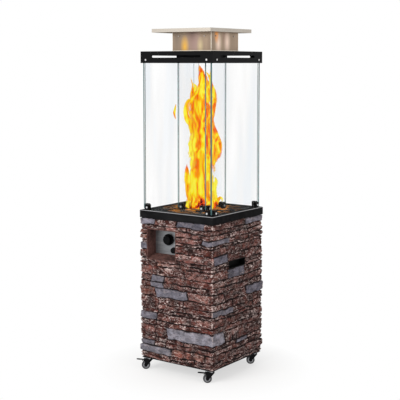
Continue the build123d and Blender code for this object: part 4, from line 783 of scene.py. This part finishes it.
def tongue(path, halves, depth, rows, around, seed, heat, solid):
    """A closed flame tongue. Its middle follows path, as (sideways, height above the deck) seen from the
    front corner; each ring is an ellipse of half-width halves across the path and depth times that
    in depth, ragged by noise drawn out along the height; both ends close in a point."""
    middle, half = course_curve(path, rows), course_curve(np.asarray(halves, float)[:, None], rows)
    along = np.gradient(middle, axis=0)
    along /= np.linalg.norm(along, axis=1, keepdims=True)
    angle = np.linspace(0, 2 * math.pi, around, endpoint=False)
    cos, sin = np.cos(angle), np.sin(angle)
    seat = (middle[:, :1] / RAG_CELL[0] + cos, middle[:, 1:] / RAG_CELL[1], sin * RAG_TURN)
    wide = half * (RAG_LEAST + RAG_MORE * clouds(np.stack(np.broadcast_arrays(*seat), -1), seed))
    rings = (middle[:, :1] + along[:, 1:] * wide * cos, middle[:, 1:] - along[:, :1] * wide * cos,
             wide * depth * sin)
    tips = ((middle[0, 0], middle[-1, 0]), (middle[0, 1], middle[-1, 1]), (0.0, 0.0))
    side, rise, back = (np.concatenate([[start], ring.ravel(), [stop]])
                        for ring, (start, stop) in zip(rings, tips))
    ca, sa = math.cos(CAMERA_AZIMUTH), math.sin(CAMERA_AZIMUTH)
    height = DECK + FLAME_FOOT + np.maximum(rise, 0)
    points = np.stack([side * ca - back * sa, side * sa + back * ca, height], -1)

    r, c = np.meshgrid(np.arange(rows - 1), np.arange(around), indexing="ij")
    a, b = 1 + r * around + c, 1 + r * around + (c + 1) % around
    faces = np.stack([a, b, b + around, a + around], -1).reshape(-1, 4).tolist()
    last = 1 + (rows - 1) * around
    faces += [[0, 1 + (i + 1) % around, 1 + i] for i in range(around)]
    faces += [[last + around, last + i, last + (i + 1) % around] for i in range(around)]
    share = np.concatenate([[0], np.repeat(np.linspace(0, 1, rows), around), [1]])
    facing = np.concatenate([[0], np.tile(abs(sin), rows), [0]])
    glow, film = burning(side, back, rise, share, facing, seed, heat, solid)
    return points, faces, {"burn": glow, "film": film}


class StoneSettings(bpy.types.PropertyGroup):
    """Grid of the stone relief."""
    column_step: FloatProperty(name="Column step", description="Width of a column of the stone relief",
                               default=3.4 * MM, unit="LENGTH")
    row_step: FloatProperty(name="Row step", description="Height of a row of the stone relief",
                            default=2.6 * MM, unit="LENGTH")


class MetalSettings(bpy.types.PropertyGroup):
    """Colours of the sheet metal."""
    black: FloatVectorProperty(name="Black coat", description="Powder coat of the frame and the clamps",
                               default=linear("0A0A0B")[:3], subtype="COLOR")
    steel: FloatVectorProperty(name="Steel", description="Brushed stainless steel of the chimney",
                               default=linear("968371")[:3], subtype="COLOR")


class FlameSettings(bpy.types.PropertyGroup):
    """Grid and number of the flame tongues."""
    step: FloatProperty(name="Step", description="Grid step of the flame tongues", default=3.2 * MM,
                        unit="LENGTH", subtype="DISTANCE", min=1 * MM)
    licks: IntProperty(name="Licks", description="Small tongues that lick up the sides of the flame",
                       default=22)


class WheelSettings(bpy.types.PropertyGroup):
    """Sizes of the caster wheels."""
    hub: FloatProperty(name="Hub radius", description="Radius of the hub, where the tyre starts",
                       default=12.5 * MM, unit="LENGTH")
    bore: FloatProperty(name="Bore radius", description="Radius of the hole for the axle",
                        default=3.1 * MM, unit="LENGTH")


class LightSettings(bpy.types.PropertyGroup):
    """Studio light."""
    key: FloatProperty(name="Key light", description="Power of the large lamp at the front left",
                       default=150.0, unit="POWER")
    fill: FloatProperty(name="Fill light", description="Power of the large lamp at the right",
                        default=45.0, unit="POWER")
    sky: FloatProperty(name="Room light", description="Strength of the even light from all round",
                       default=0.5)


# A turn between two faces that is sharper than this stays a sharp edge, on the stones and on the wheels
STONE_SHARP, WHEEL_SHARP = math.radians(42), math.radians(35)


class HEATER_OT_stones(bpy.types.Operator):
    """Makes the four rings of ledge stones in place of the plain shell"""
    bl_idname = "heater.stones"
    bl_label = "Ledge stones"

    def execute(self, context):
        settings = context.scene.heater_stones
        material = ledge_stone()
        rings = stone_courses(settings.column_step / MM, settings.row_step / MM)
        for part, (points, faces, attributes) in zip(("foot", "lower", "upper", "top"), rings):
            piece = put_mesh(f"stones_{part}", points, faces, material, "heater", attributes=attributes)
            piece.data.set_sharp_from_angle(angle=STONE_SHARP)
            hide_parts("stone_shell")
        return {"FINISHED"}


# Spots on the chimney as (place and reach in mm, tint): the darker ones heat tint, the pale, straw and
# orange ones painted reflections of the flame
HEAT_TINT_AND_REFLECTION_SPOTS = (
    ((-66, -96, 1505), 36, "84766A"), ((26, -96, 1480), 46, "B0948E"), ((16, -96, 1520), 36, "806A62"),
    ((-24, -96, 1460), 25, "F6BC4A"), ((60, -96, 1464), 20, "D0BE94"), ((118, -84, 1490), 20, "8E7E6E"),
    ((118, 4, 1510), 24, "94786A"), ((118, 68, 1500), 34, "94826F"), ((118, -42, 1472), 28, "FBE0CC"),
    ((118, -56, 1512), 19, "F49A36"), ((118, 26, 1480), 28, "F4D8C6"),
)


def base_of(material):
    """A material's tree, its shader, the socket that colours it, and its Object coordinates."""
    tree = material.node_tree
    shader = tree.nodes["Principled BSDF"]
    spot = add(tree, "TexCoord").outputs["Object"]
    return tree, shader, shader.inputs["Base Color"].links[0].from_socket, spot


def heat_tint_and_painted_light(material):
    """Straw, amber and brown spots round a few places of the chimney's steel, the darker ones the tint
    that the flame's heat leaves and the pale and orange ones painted reflections of the flame, and a
    pale painted highlight along its folded corners and its foot."""
    tree, shader, colour, spot = base_of(material)
    # The pale and orange spots are painted reflections of the flame, the darker ones heat tint
    for place, reach, tint in HEAT_TINT_AND_REFLECTION_SPOTS:
        offset = add(tree, "VectorMath", (spot, [c * MM for c in place]), operation="SUBTRACT")
        offset = add(tree, "VectorMath", (offset, (1, 1, 0.45)), operation="MULTIPLY")
        away = add(tree, "VectorMath", [offset], operation="LENGTH").outputs["Value"]
        share = add(tree, "MapRange", (away, 0, reach * MM, 0.85, 0))
        colour = add(tree, "Mix", {0: share, 6: colour, 7: linear(tint)}, data_type="RGBA").outputs[2]
    low, high = (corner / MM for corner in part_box("chimney"))
    split = add(tree, "SeparateXYZ", [spot])
    fold = []
    for axis in (0, 1):
        middle, reach = (low[axis] + high[axis]) / 2 * MM, (high[axis] - low[axis]) / 2 * MM
        away = add(tree, "Math", (split.outputs[axis], middle), operation="SUBTRACT")
        away = add(tree, "Math", [away], operation="ABSOLUTE")
        fold.append(add(tree, "MapRange", (away, reach - 2.6 * MM, reach - 1.6 * MM, 0, 1)))
    # A pale painted highlight along the folded corners and the foot
    corner = add(tree, "Math", fold, operation="MINIMUM")
    foot = add(tree, "MapRange", (split.outputs[2], (low[2] + 3) * MM, (low[2] + 5) * MM, 0.8, 0))
    painted_highlight = add(tree, "Math", (corner, foot), operation="MAXIMUM")
    colour = add(tree, "Mix", {0: painted_highlight, 6: colour, 7: linear("FFF6E6")}, data_type="RGBA").outputs[2]
    tree.links.new(colour, shader.inputs["Base Color"])


def painted_deck_reflections(material):
    """Painted light on the deck's gloss: painted reflections of the flame's orange light in dashes round
    the burner, fading outwards and glowing; grey streaks on its top, a painted reflection drawn 5.5 mm
    wide because real brush lines are too fine to show; and a pale painted highlight along the tray's
    upper edge."""
    tree, shader, colour, spot = base_of(material)
    away = add(tree, "VectorMath", (spot, (1, 1, 0)), operation="MULTIPLY")
    away = add(tree, "VectorMath", [away], operation="LENGTH").outputs["Value"]
    # Painted reflection of the flame: orange dashes near the burner
    flame_reflection_dashes = add(tree, "MapRange", (grain(tree, 13, (4, 0.8, 1), detail=2.0), 0.57, 0.6, 0, 1))
    near = add(tree, "MapRange", (away, 80 * MM, 185 * MM, 1.0, 0.0))
    share = add(tree, "Math", (flame_reflection_dashes, near), operation="MULTIPLY")
    split = add(tree, "SeparateXYZ", [spot])
    upper = add(tree, "MapRange", (split.outputs[2], (DECK - 2.2) * MM, (DECK - 1) * MM, 0, 1))
    # Painted reflection: grey streaks on the deck's top
    painted_streaks = add(tree, "MapRange", (grain(tree, 11, (6, 0.5, 1)), 0.54, 0.6, 0, 0.42))
    painted_streaks = add(tree, "Math", (painted_streaks, upper), operation="MULTIPLY")
    far = [add(tree, "Math", [split.outputs[axis]], operation="ABSOLUTE") for axis in (0, 1)]
    far = add(tree, "Math", far, operation="MAXIMUM")
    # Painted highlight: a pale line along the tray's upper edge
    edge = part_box("deck_tray")[1].x
    painted_edge_highlight = add(tree, "MapRange", (far, edge - 2.4 * MM, edge - 1.4 * MM, 0, 0.6))
    painted_edge_highlight = add(tree, "Math", (painted_edge_highlight, upper), operation="MULTIPLY")
    for mask, tint in ((painted_streaks, "6E7678"), (share, "EC9A26"), (painted_edge_highlight, "D8D8DC")):
        colour = add(tree, "Mix", {0: mask, 6: colour, 7: linear(tint)}, data_type="RGBA").outputs[2]
    tree.links.new(colour, shader.inputs["Base Color"])
    # The painted reflection of the flame glows, though the deck is no lamp
    glow = add(tree, "MapRange", (share, 0, 1, 0, 0.65))
    tree.links.new(glow.outputs[0], shader.inputs["Emission Strength"])
    shader.inputs["Emission Color"].default_value = linear("E8861E")


def soot(material, height):
    """Browned by the flue's heat above a height: the screws of the chimney are duller than the frame's."""
    tree, shader, colour, spot = base_of(material)
    split = add(tree, "SeparateXYZ", [spot])
    share = add(tree, "MapRange", (split.outputs[2], height, height + 10 * MM, 0, 1))
    colour = add(tree, "Mix", {0: share, 6: colour, 7: linear("A89E96")}, data_type="RGBA").outputs[2]
    tree.links.new(colour, shader.inputs["Base Color"])


class HEATER_OT_sheet_metal(bpy.types.Operator):
    """Coats the black frame, deck, clamps and casters and brushes the chimney and the roof"""
    bl_idname = "heater.sheet_metal"
    bl_label = "Sheet metal"

    def execute(self, context):
        settings = context.scene.heater_metals
        black, steel = (tuple(colour) + (1.0,) for colour in (settings.black, settings.steel))
        # Powder coat on folded steel: a flat black with a trace of orange peel
        satin = coated("satin_black_powder_coat", black, linear("0E0E10"), 1.2, 0.45, 0.06, 0.04,
                       **{"Specular IOR Level": 0.06})
        dress(satin, "top_band", "flue_collar", "base_plate", "outer_clamps", "inner_clamps", "top_clips",
              "tank_seat", *(f"caster_fork_{corner}" for corner in CASTERS), "brake_lever_front_left",
              "brake_lever_front_right")
        # Enamel on pressed steel: a deep black with slow waves, with the flame's light painted on as
        # glowing reflections, and a painted highlight along its edge
        gloss = coated("gloss_black_enamel", linear("131314"), linear("232324"), 30, 0.2, 0.08, 0.12,
                       (3, 0.6, 1), **{"Specular IOR Level": 0.0})
        painted_deck_reflections(gloss)
        dress(gloss, "deck_tray", "burner_pan")
        # Stainless steel brushed upright: warm grey. Its brush lines are too fine to show, so they are
        # drawn some 20 mm wide
        brushed = coated("brushed_stainless", steel, linear("AA947E"), 30, 0.32, 0.03, 0.0, (0.9, 0.9, 6),
                         fine=22, Metallic=1.0)
        # Heat tint, painted reflections of the flame and a painted highlight on the folds
        heat_tint_and_painted_light(brushed)
        dress(brushed, "chimney")
        # The same steel on the roof, brushed along X and out of the flame's heat: paler and more even,
        # with its lines drawn 45 mm wide
        roof = coated("brushed_stainless_roof", linear("BAB3A9"), linear("B0A89D"), 90, 0.4, 0.03, 0.0,
                      (3, 0.5, 1), Metallic=1.0)
        dress(roof, "roof_plate")
        # Plated steel: a cool mid grey, lightly mottled
        plated = coated("plated_steel", linear("9A9A9C"), linear("7F8083"), 4, 0.34, 0.08, 0.02,
                        Metallic=1.0)
        dress(plated, "caster_plates", "door_hinges", "mixer_tube")
        # Bright zinc on screws: small near-white glints, duller on the hot chimney
        bright = coated("bright_zinc_screws", linear("E6E6E8"), linear("C2C3C6"), 2, 0.42, 0.06, 0.01,
                        Metallic=1.0)
        dress(bright, "clamp_screws", "caster_screws")
        panel = coated("zinc_panel_screws", linear("DEDCDC"), linear("BEBBBC"), 2, 0.36, 0.06, 0.01,
                       Metallic=1.0)
        soot(panel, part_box("chimney")[0].z)
        dress(panel, "panel_screws")
        return {"FINISHED"}


class HEATER_OT_glass(bpy.types.Operator):
    """Makes the panes clear with green-blue cut edges"""
    bl_idname = "heater.glass"
    bl_label = "Glass panes"

    def execute(self, context):
        dress(pane_glass("outer_float_glass", OUTER_PANES),
              *(f"outer_glass_{side}" for side in ("front", "right", "back", "left")))
        dress(pane_glass("inner_float_glass", INNER_PANES), "inner_glass")
        return {"FINISHED"}


# Flame tongues: path as (sideways, above the deck) from the front corner, half widths there in mm,
# depth share, heat share, how solid they look
TONGUES = {
    "mantle": ([(-4, 0), (1, 56), (-6, 120), (1, 185), (8, 250), (2, 314), (-2, 379), (-8, 443), (-7, 482),
                (6, 534), (8, 573), (2, 605), (-9, 632), (-11, 646)],
               [64, 62, 58, 60, 62, 58, 52, 56, 48, 36, 24, 15, 8, 1], 0.75, 0.42, 1.0),
    "tip": ([(1, 404), (-2, 443), (5, 495), (1, 547), (-8, 592), (-7, 624), (-11, 649)],
            [13, 17, 17, 13, 10, 6, 1], 0.8, 0.34, 0.95),
    "left_lobe": ([(-41, 340), (-50, 379), (-68, 411), (-72, 450), (-63, 482), (-48, 489), (-38, 476)],
                  [13, 14, 14, 12, 9, 6, 1], 0.8, 0.5, 0.9),
    "right_upper": ([(36, 379), (46, 430), (55, 476), (57, 514), (46, 547), (36, 585), (26, 605),
                     (14, 618)],
                    [14, 14, 12, 10, 9, 6, 4, 1], 0.8, 0.6, 0.85),
    "right_lobe": ([(36, 211), (55, 230), (69, 256), (73, 288), (67, 321), (59, 353), (52, 385)],
                   [20, 21, 20, 17, 13, 9, 2], 0.8, 0.36, 0.95),
    "heart": ([(-22, 0), (-15, 56), (-22, 120), (-9, 185), (1, 250), (-2, 314), (4, 379), (7, 430),
               (1, 476)],
              [26, 24, 20, 18, 16, 14, 11, 8, 2], 1.0, 0.95, 1.0),
    "left_streak": ([(-54, 0), (-47, 56), (-54, 108), (-41, 153), (-34, 211), (-47, 262), (-41, 314),
                     (-28, 366), (-34, 418), (-22, 469), (-31, 514), (-25, 560)],
                    [16, 16, 14, 14, 13, 12, 12, 11, 9, 7, 5, 1], 1.0, 0.9, 1.0),
    "right_streak": ([(36, 0), (33, 56), (36, 120), (30, 185), (26, 250), (36, 314), (39, 353), (43, 392)],
                     [20, 20, 18, 14, 12, 9, 6, 1], 1.0, 0.9, 1.0),
    "right_foot": ([(55, 0), (60, 43), (55, 88), (63, 120), (58, 143)], [13, 12, 11, 9, 2], 0.9, 0.7, 0.9),
    "curl": ([(58, 6), (70, 32), (82, 46), (91, 42), (91, 28)], [11, 9, 7, 5, 1], 0.9, 0.8, 0.9),
    "left_foot": ([(-64, 2), (-48, 36), (-57, 62), (-65, 120), (-69, 166), (-68, 204)],
                  [13, 17, 17, 15, 11, 1], 0.9, 0.45, 0.9),
    # A painted reflection of the flame in the outer pane: a glowing tongue between the panes
    "wisp": ([(-119, 405), (-125, 430), (-120, 456), (-117, 472)], [2, 6, 4, 1], 0.6, 0.3, 0.45),
}


# How far over the flame's foot the licks start, and what height their feet are spread over, in mm
LICKS_FROM, LICKS_OVER = 20, 520


def licks(count):
    """Small flame tongues on the mantle: lick k starts at the k-th share of the height, on either side
    of the mantle's middle by turns. By fixed random amounts it rises 60 to 140 mm and leans 4 mm in to
    16 mm out, and its half width is 6 to 13 mm."""
    path, halves, *_ = TONGUES["mantle"]
    across, heights = np.transpose(path)
    made = {}
    for k in range(count):
        a, b, c, d = lattice(np.array([[k, 3, 1], [k, 5, 2], [k, 7, 3], [k, 11, 4]]), 17)
        foot = LICKS_FROM + LICKS_OVER * (k + 0.5) / count
        middle, half = (np.interp(foot, heights, values) for values in (across, halves))
        sign = 1 if k % 2 else -1
        start = middle + sign * half * (0.35 + 0.6 * a)
        tall, lean, wide = 60 + 80 * b, sign * (20 * c - 4), 6 + 7 * d
        path = [(start, foot), (start + lean, foot + tall * 0.35), (start + lean * 0.4, foot + tall * 0.7),
                (start + lean * 1.2, min(foot + tall, FLAME_HEIGHT))]
        made[f"lick_{k + 1}"] = (path, [wide * 0.6, wide, wide * 0.6, 0.6], 0.9, 0.35 + 0.6 * a, 0.9)
    return made


# Grid of a tongue: its length is its height and this much more, in mm, a ring is this many half widths
# round, and these are the fewest rows and points round; and the step from a tongue's seed to the next
TONGUE_MARGIN = 20
HALVES_ROUND = 4.5
FEWEST_ROWS, FEWEST_AROUND = 20, 16
SEED_STEP = 13


class HEATER_OT_flame(bpy.types.Operator):
    """Makes the flame as closed tongues of light inside the inner glass, and its painted reflection in
    the outer pane as one more glowing tongue between the panes
    """
    bl_idname = "heater.flame"
    bl_label = "Flame"

    def execute(self, context):
        settings = context.scene.heater_flame
        material = flame_light()
        step = settings.step / MM
        tongues = {**TONGUES, **licks(settings.licks)}
        for number, (name, (path, halves, depth, heat, solid)) in enumerate(tongues.items()):
            length = np.ptp(np.asarray(path)[:, 1]) + TONGUE_MARGIN
            rows = max(int(length / step), FEWEST_ROWS)
            around = max(int(HALVES_ROUND * max(halves) / step), FEWEST_AROUND)
            seed = number * SEED_STEP
            points, faces, attributes = tongue(path, halves, depth, rows, around, seed, heat, solid)
            outwards(put_mesh(f"flame_{name}", points, faces, material, "heater", attributes=attributes))
        return {"FINISHED"}


class HEATER_OT_controls(bpy.types.Operator):
    """Dresses the recess, its plate, the knob, the igniter and the grips"""
    bl_idname = "heater.controls"
    bl_label = "Controls"

    def execute(self, context):
        # Moulded liner, coloured like the stones: rough, with painted shade, near-black, in its hollows and
        # a reddish painted highlight on its ridges, drawn 9 mm wide so that they show
        liner = coated("moulded_recess_liner", linear("150A08"), linear("704E48"), 8, 0.8, 0.08, 1.6,
                       fine=9, **{"Specular IOR Level": 0.2})
        dress(liner, "control_recess")
        # Steel plate brushed level: a soft grey sheen in lines, drawn 0.8 mm high so that they show
        plate = coated("brushed_control_plate", linear("A2A4A6"), linear("76787C"), 7, 0.46, 0.06, 0.02,
                       (9, 1, 0.3), fine=2.5, Metallic=1.0)
        dress(plate, "control_plate")
        # Moulded plastic: black, with a weak, soft light on its rims. Its grain is too fine to show and is
        # drawn 1.5 mm wide
        plastic = coated("black_moulded_plastic", linear("040405"), linear("08080A"), 1.5, 0.4, 0.06, 0.03,
                         **{"Specular IOR Level": 0.06})
        dress(plastic, "control_knob", "igniter_body", "igniter_button", "tilt_switch")
        # The same plastic, rougher, on what a hand holds: dull black
        grip = coated("black_grip_cup", linear("040404"), linear("080808"), 1.5, 0.6, 0.06, 0.05,
                      **{"Specular IOR Level": 0.08})
        dress(grip, "grip_left", "grip_right", "door_pull")
        return {"FINISHED"}


# Finishes inside the cabinet as (name, colour, mottle, cell in mm, roughness, its spread, bump in mm,
# metal) and the nodes that have them
CABINET_FINISHES = {
    # Enamel and powder coat: an even colour with a soft light
    ("bottle_enamel", "D8D6CE", "C4C2BA", 14, 0.3, 0.05, 0.05, 0.0): ["gas_tank"],
    ("rear_door_powder_coat", "3B302C", "4A3D38", 1.6, 0.5, 0.06, 0.06, 0.0): ["rear_door"],
    # Brass turned on a lathe: a warm, clean shine
    ("turned_brass", "C8A45A", "A98543", 4, 0.3, 0.06, 0.02, 1.0): ["tank_valve", "tap_spindle", "gas_tap"],
    # Cast zinc and aluminium: pale greys with the soft skin of a casting
    ("cast_zinc", "9C9C98", "85857F", 5, 0.48, 0.08, 0.12, 1.0): ["regulator"],
    ("cast_aluminium", "A8A9AB", "8F9093", 5, 0.45, 0.08, 0.12, 1.0): ["tap_rotor"],
    # Burner steel: dark and browned in patches by the flame
    ("burner_steel", "5E5A57", "463F3A", 12, 0.42, 0.08, 0.05, 1.0): ["burner_cap"],
    # Copper drawn into a tube: reddish and bright
    ("probe_copper", "B9744E", "94563A", 4, 0.36, 0.06, 0.02, 1.0): ["thermocouple", "thermocouple_lead"],
    # Fired ceramic and ferrite: even and close-grained, off-white and charcoal
    ("electrode_ceramic", "E6E0D2", "D3CBBA", 3, 0.4, 0.06, 0.03, 0.0): ["spark_electrode"],
    ("magnet_ferrite", "3C3C40", "4A4A4F", 2, 0.55, 0.06, 0.05, 0.0): ["door_magnet"],
    # Moulded plastics: near black with a soft light
    ("handwheel_plastic", "1A1A1C", "28282B", 2, 0.45, 0.06, 0.04, 0.0): ["handwheel"],
    ("nut_plastic", "17191A", "25282A", 2, 0.42, 0.06, 0.04, 0.0): ["coupling_nut"],
    # Rubber and silicone: dull and smooth, black, and orange on the spark lead
    ("hose_rubber", "1A1A1A", "262626", 2, 0.6, 0.06, 0.08, 0.0): ["gas_hose", "supply_tube"],
    ("pad_rubber", "1E1E20", "2A2A2D", 2, 0.7, 0.05, 0.05, 0.0): ["clamp_pads"],
    ("lead_silicone", "C9512E", "B04425", 3, 0.5, 0.05, 0.03, 0.0): ["spark_lead"],
}


class HEATER_OT_gas_train(bpy.types.Operator):
    """Dresses the door, the bottle, its valve, the hose, the tap and the burner's parts"""
    bl_idname = "heater.gas_train"
    bl_label = "Gas train"

    def execute(self, context):
        for (name, colour, mottle, size, rough, spread, bump, metal), nodes in CABINET_FINISHES.items():
            finish = coated(name, linear(colour), linear(mottle), size, rough, spread, bump, Metallic=metal)
            dress(finish, *nodes)
        return {"FINISHED"}


# The casters' axles all stand this way at rest, half a tyre's width is this share of its radius, and a
# wheel has this many points round
AXLE = (0.5842, -0.8116, 0)
TYRE_HALF_SHARE = 0.385
WHEEL_AROUND = 72


def caster_profiles(radius, hub, bore):
    """Closed outlines of a tyre and its hub as (along the axle, radius) in mm: one side of each from the
    hub's radius out to the tread, or in to the bore, and its mirror image back."""
    half = radius * TYRE_HALF_SHARE
    tyre = [(half * 0.9, hub), (half, hub + 1), (half, radius - 3.1), (half * 0.88, radius - 1.1),
            (half * 0.62, radius - 0.15), (half * 0.2, radius)]
    rim = [(half * 0.95, hub), (half * 0.95, hub - 1.2), (half * 0.66, hub - 2), (half * 0.62, bore + 4.2),
           (half * 0.95, bore + 3), (half * 0.95, bore)]
    return [side + [(-along, out) for along, out in reversed(side)] for side in (tyre, rim)]


class HEATER_OT_wheels(bpy.types.Operator):
    """Turns the tyres and the hubs of the casters in place of the plain wheels"""
    bl_idname = "heater.wheels"
    bl_label = "Caster wheels"

    def execute(self, context):
        settings = context.scene.heater_wheels
        # Moulded rubber: dull and dark grey
        rubber = coated("tyre_rubber", linear("2B2B2D"), linear("38383A"), 2, 0.62, 0.06, 0.06, IOR=1.5)
        # Die-cast zinc: pale grey with soft lights
        cast = coated("zinc_hub", linear("B9BABD"), linear("9B9CA0"), 3, 0.36, 0.06, 0.03, Metallic=1.0)
        for corner in CASTERS:
            node = f"caster_wheel_{corner}"
            low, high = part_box(node)
            centre = [(a + b) / 2 / MM for a, b in zip(low, high)]
            profiles = caster_profiles((high.z - low.z) / 2 / MM, settings.hub / MM, settings.bore / MM)
            for name, profile, material, slot in zip(("tyre", "hub"), profiles, (rubber, cast),
                                                     ("tyre_rubber", "bright_zinc")):
                points, faces = turned(profile, centre, AXLE, WHEEL_AROUND)
                piece = outwards(put_mesh(f"caster_{name}_{corner}", points, faces, material, node))
                piece.data.set_sharp_from_angle(angle=WHEEL_SHARP)
                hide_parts(node)
        return {"FINISHED"}


def white_surround(sky):
    """A world that is white where it is seen and even light of strength sky on everything else."""
    world = bpy.data.worlds.new("white_surround")
    tree = cleared(world)
    rays = add(tree, "LightPath").outputs
    seen = rays["Is Camera Ray"]
    for other in ("Is Glossy Ray", "Is Transmission Ray"):
        seen = add(tree, "Math", (seen, rays[other]), operation="MAXIMUM")
    strength = add(tree, "MapRange", (seen, 0, 1, sky, 1.0))
    light = add(tree, "Background", {"Color": (1, 1, 1, 1), "Strength": strength})
    add(tree, "OutputWorld", {"Surface": light})
    return world


def pale_floor():
    """A matt off-white floor that takes the heater's shadow, mixed with plain white light: 0.6 of it
    within 0.2 m of the middle, and nothing but it from 0.5 m out."""
    material, tree, shader = new_material("pale_floor", **{"Base Color": linear("F7F7F6"), "Roughness": 0.9,
                                                           "Specular IOR Level": 0.1})
    spot = add(tree, "TexCoord").outputs["Object"]
    far = add(tree, "VectorMath", [spot], operation="LENGTH").outputs["Value"]
    white = add(tree, "Emission", {"Color": (1, 1, 1, 1), "Strength": 1.0})
    away = add(tree, "MapRange", (far, 0.2, 0.5, 0.6, 1))
    mixed = add(tree, "MixShader", (away, shader, white))
    tree.links.new(mixed.outputs[0], tree.nodes["Material Output"].inputs["Surface"])
    return material


# Lamps as (name, place and width in metres, tint), half of the floor's width and the lamps' target
LAMPS = (("key", (-0.5, -4.0, 3.1), 2.6, (1, 0.98, 0.96)),
         ("fill", (4.2, -0.8, 2.2), 2.2, (1, 0.88, 0.82)))
FLOOR_HALF = 60.0
LAMP_TARGET = np.array([0, 0, 0.75])


class HEATER_OT_stage(bpy.types.Operator):
    """Sets the pale floor, the white surround, the lamps and the camera"""
    bl_idname = "heater.stage"
    bl_label = "Studio"

    def execute(self, context):
        scene = context.scene
        settings = scene.heater_lights
        scene.world = white_surround(settings.sky)
        corners = [(x * FLOOR_HALF, y * FLOOR_HALF, 0.0) for x, y in ((-1, -1), (1, -1), (1, 1), (-1, 1))]
        mesh = bpy.data.meshes.new("floor")
        mesh.from_pydata(corners, [], [(0, 1, 2, 3)])
        mesh.materials.append(pale_floor())
        floor = bpy.data.objects.new("floor", mesh)
        scene.collection.objects.link(floor)

        for name, place, width, tint in LAMPS:
            lamp = bpy.data.lights.new(name, "AREA")
            lamp.shape, lamp.size, lamp.color = "SQUARE", width, tint
            lamp.energy = getattr(settings, name)
            holder = bpy.data.objects.new(name, lamp)
            way = LAMP_TARGET - np.array(place)
            holder.location = place
            holder.rotation_euler = (math.acos(way[2] / np.linalg.norm(way)) - math.pi, 0,
                                     math.atan2(way[1], way[0]) + math.pi / 2)
            scene.collection.objects.link(holder)

        lens = bpy.data.cameras.new("camera")
        lens.sensor_width = 36.0
        lens.lens = FOCAL_PIXELS * lens.sensor_width / PICTURE_PIXELS
        lens.shift_x, lens.shift_y = CAMERA_SHIFT
        lens.clip_start, lens.clip_end = 0.1, 200
        camera = bpy.data.objects.new("camera", lens)
        camera.location = (math.sin(CAMERA_AZIMUTH) * CAMERA_REACH,
                           -math.cos(CAMERA_AZIMUTH) * CAMERA_REACH, CAMERA_HEIGHT)
        camera.rotation_euler = (math.radians(90 - CAMERA_TILT), 0, CAMERA_AZIMUTH)
        scene.collection.objects.link(camera)
        scene.camera = camera
        scene.view_settings.view_transform = "Standard"
        return {"FINISHED"}


STEPS = (HEATER_OT_stones, HEATER_OT_sheet_metal, HEATER_OT_glass, HEATER_OT_flame, HEATER_OT_controls,
         HEATER_OT_gas_train, HEATER_OT_wheels, HEATER_OT_stage)


class HEATER_PT_steps(bpy.types.Panel):
    """Lists the steps that dress the heater"""
    bl_idname = "HEATER_PT_steps"
    bl_label = "Patio heater"
    bl_space_type = "VIEW_3D"
    bl_region_type = "UI"
    bl_category = "Patio heater"

    def draw(self, context):
        for step in STEPS:
            self.layout.operator(step.bl_idname)


SETTINGS = {"heater_stones": StoneSettings, "heater_metals": MetalSettings, "heater_flame": FlameSettings,
            "heater_wheels": WheelSettings, "heater_lights": LightSettings}


def register():
    for group in SETTINGS.values():
        bpy.utils.register_class(group)
    for name, group in SETTINGS.items():
        setattr(bpy.types.Scene, name, PointerProperty(type=group))
    for kind in STEPS + (HEATER_PT_steps,):
        bpy.utils.register_class(kind)


def unregister():
    for kind in reversed(STEPS + (HEATER_PT_steps,)):
        bpy.utils.unregister_class(kind)
    for name, group in reversed(SETTINGS.items()):
        delattr(bpy.types.Scene, name)
        bpy.utils.unregister_class(group)


def main():
    register()
    for step in STEPS:
        group, name = step.bl_idname.split(".")
        if getattr(getattr(bpy.ops, group), name)() != {"FINISHED"}:
            raise RuntimeError(f"{step.bl_label} did not finish")


if __name__ == "__main__":
    main()
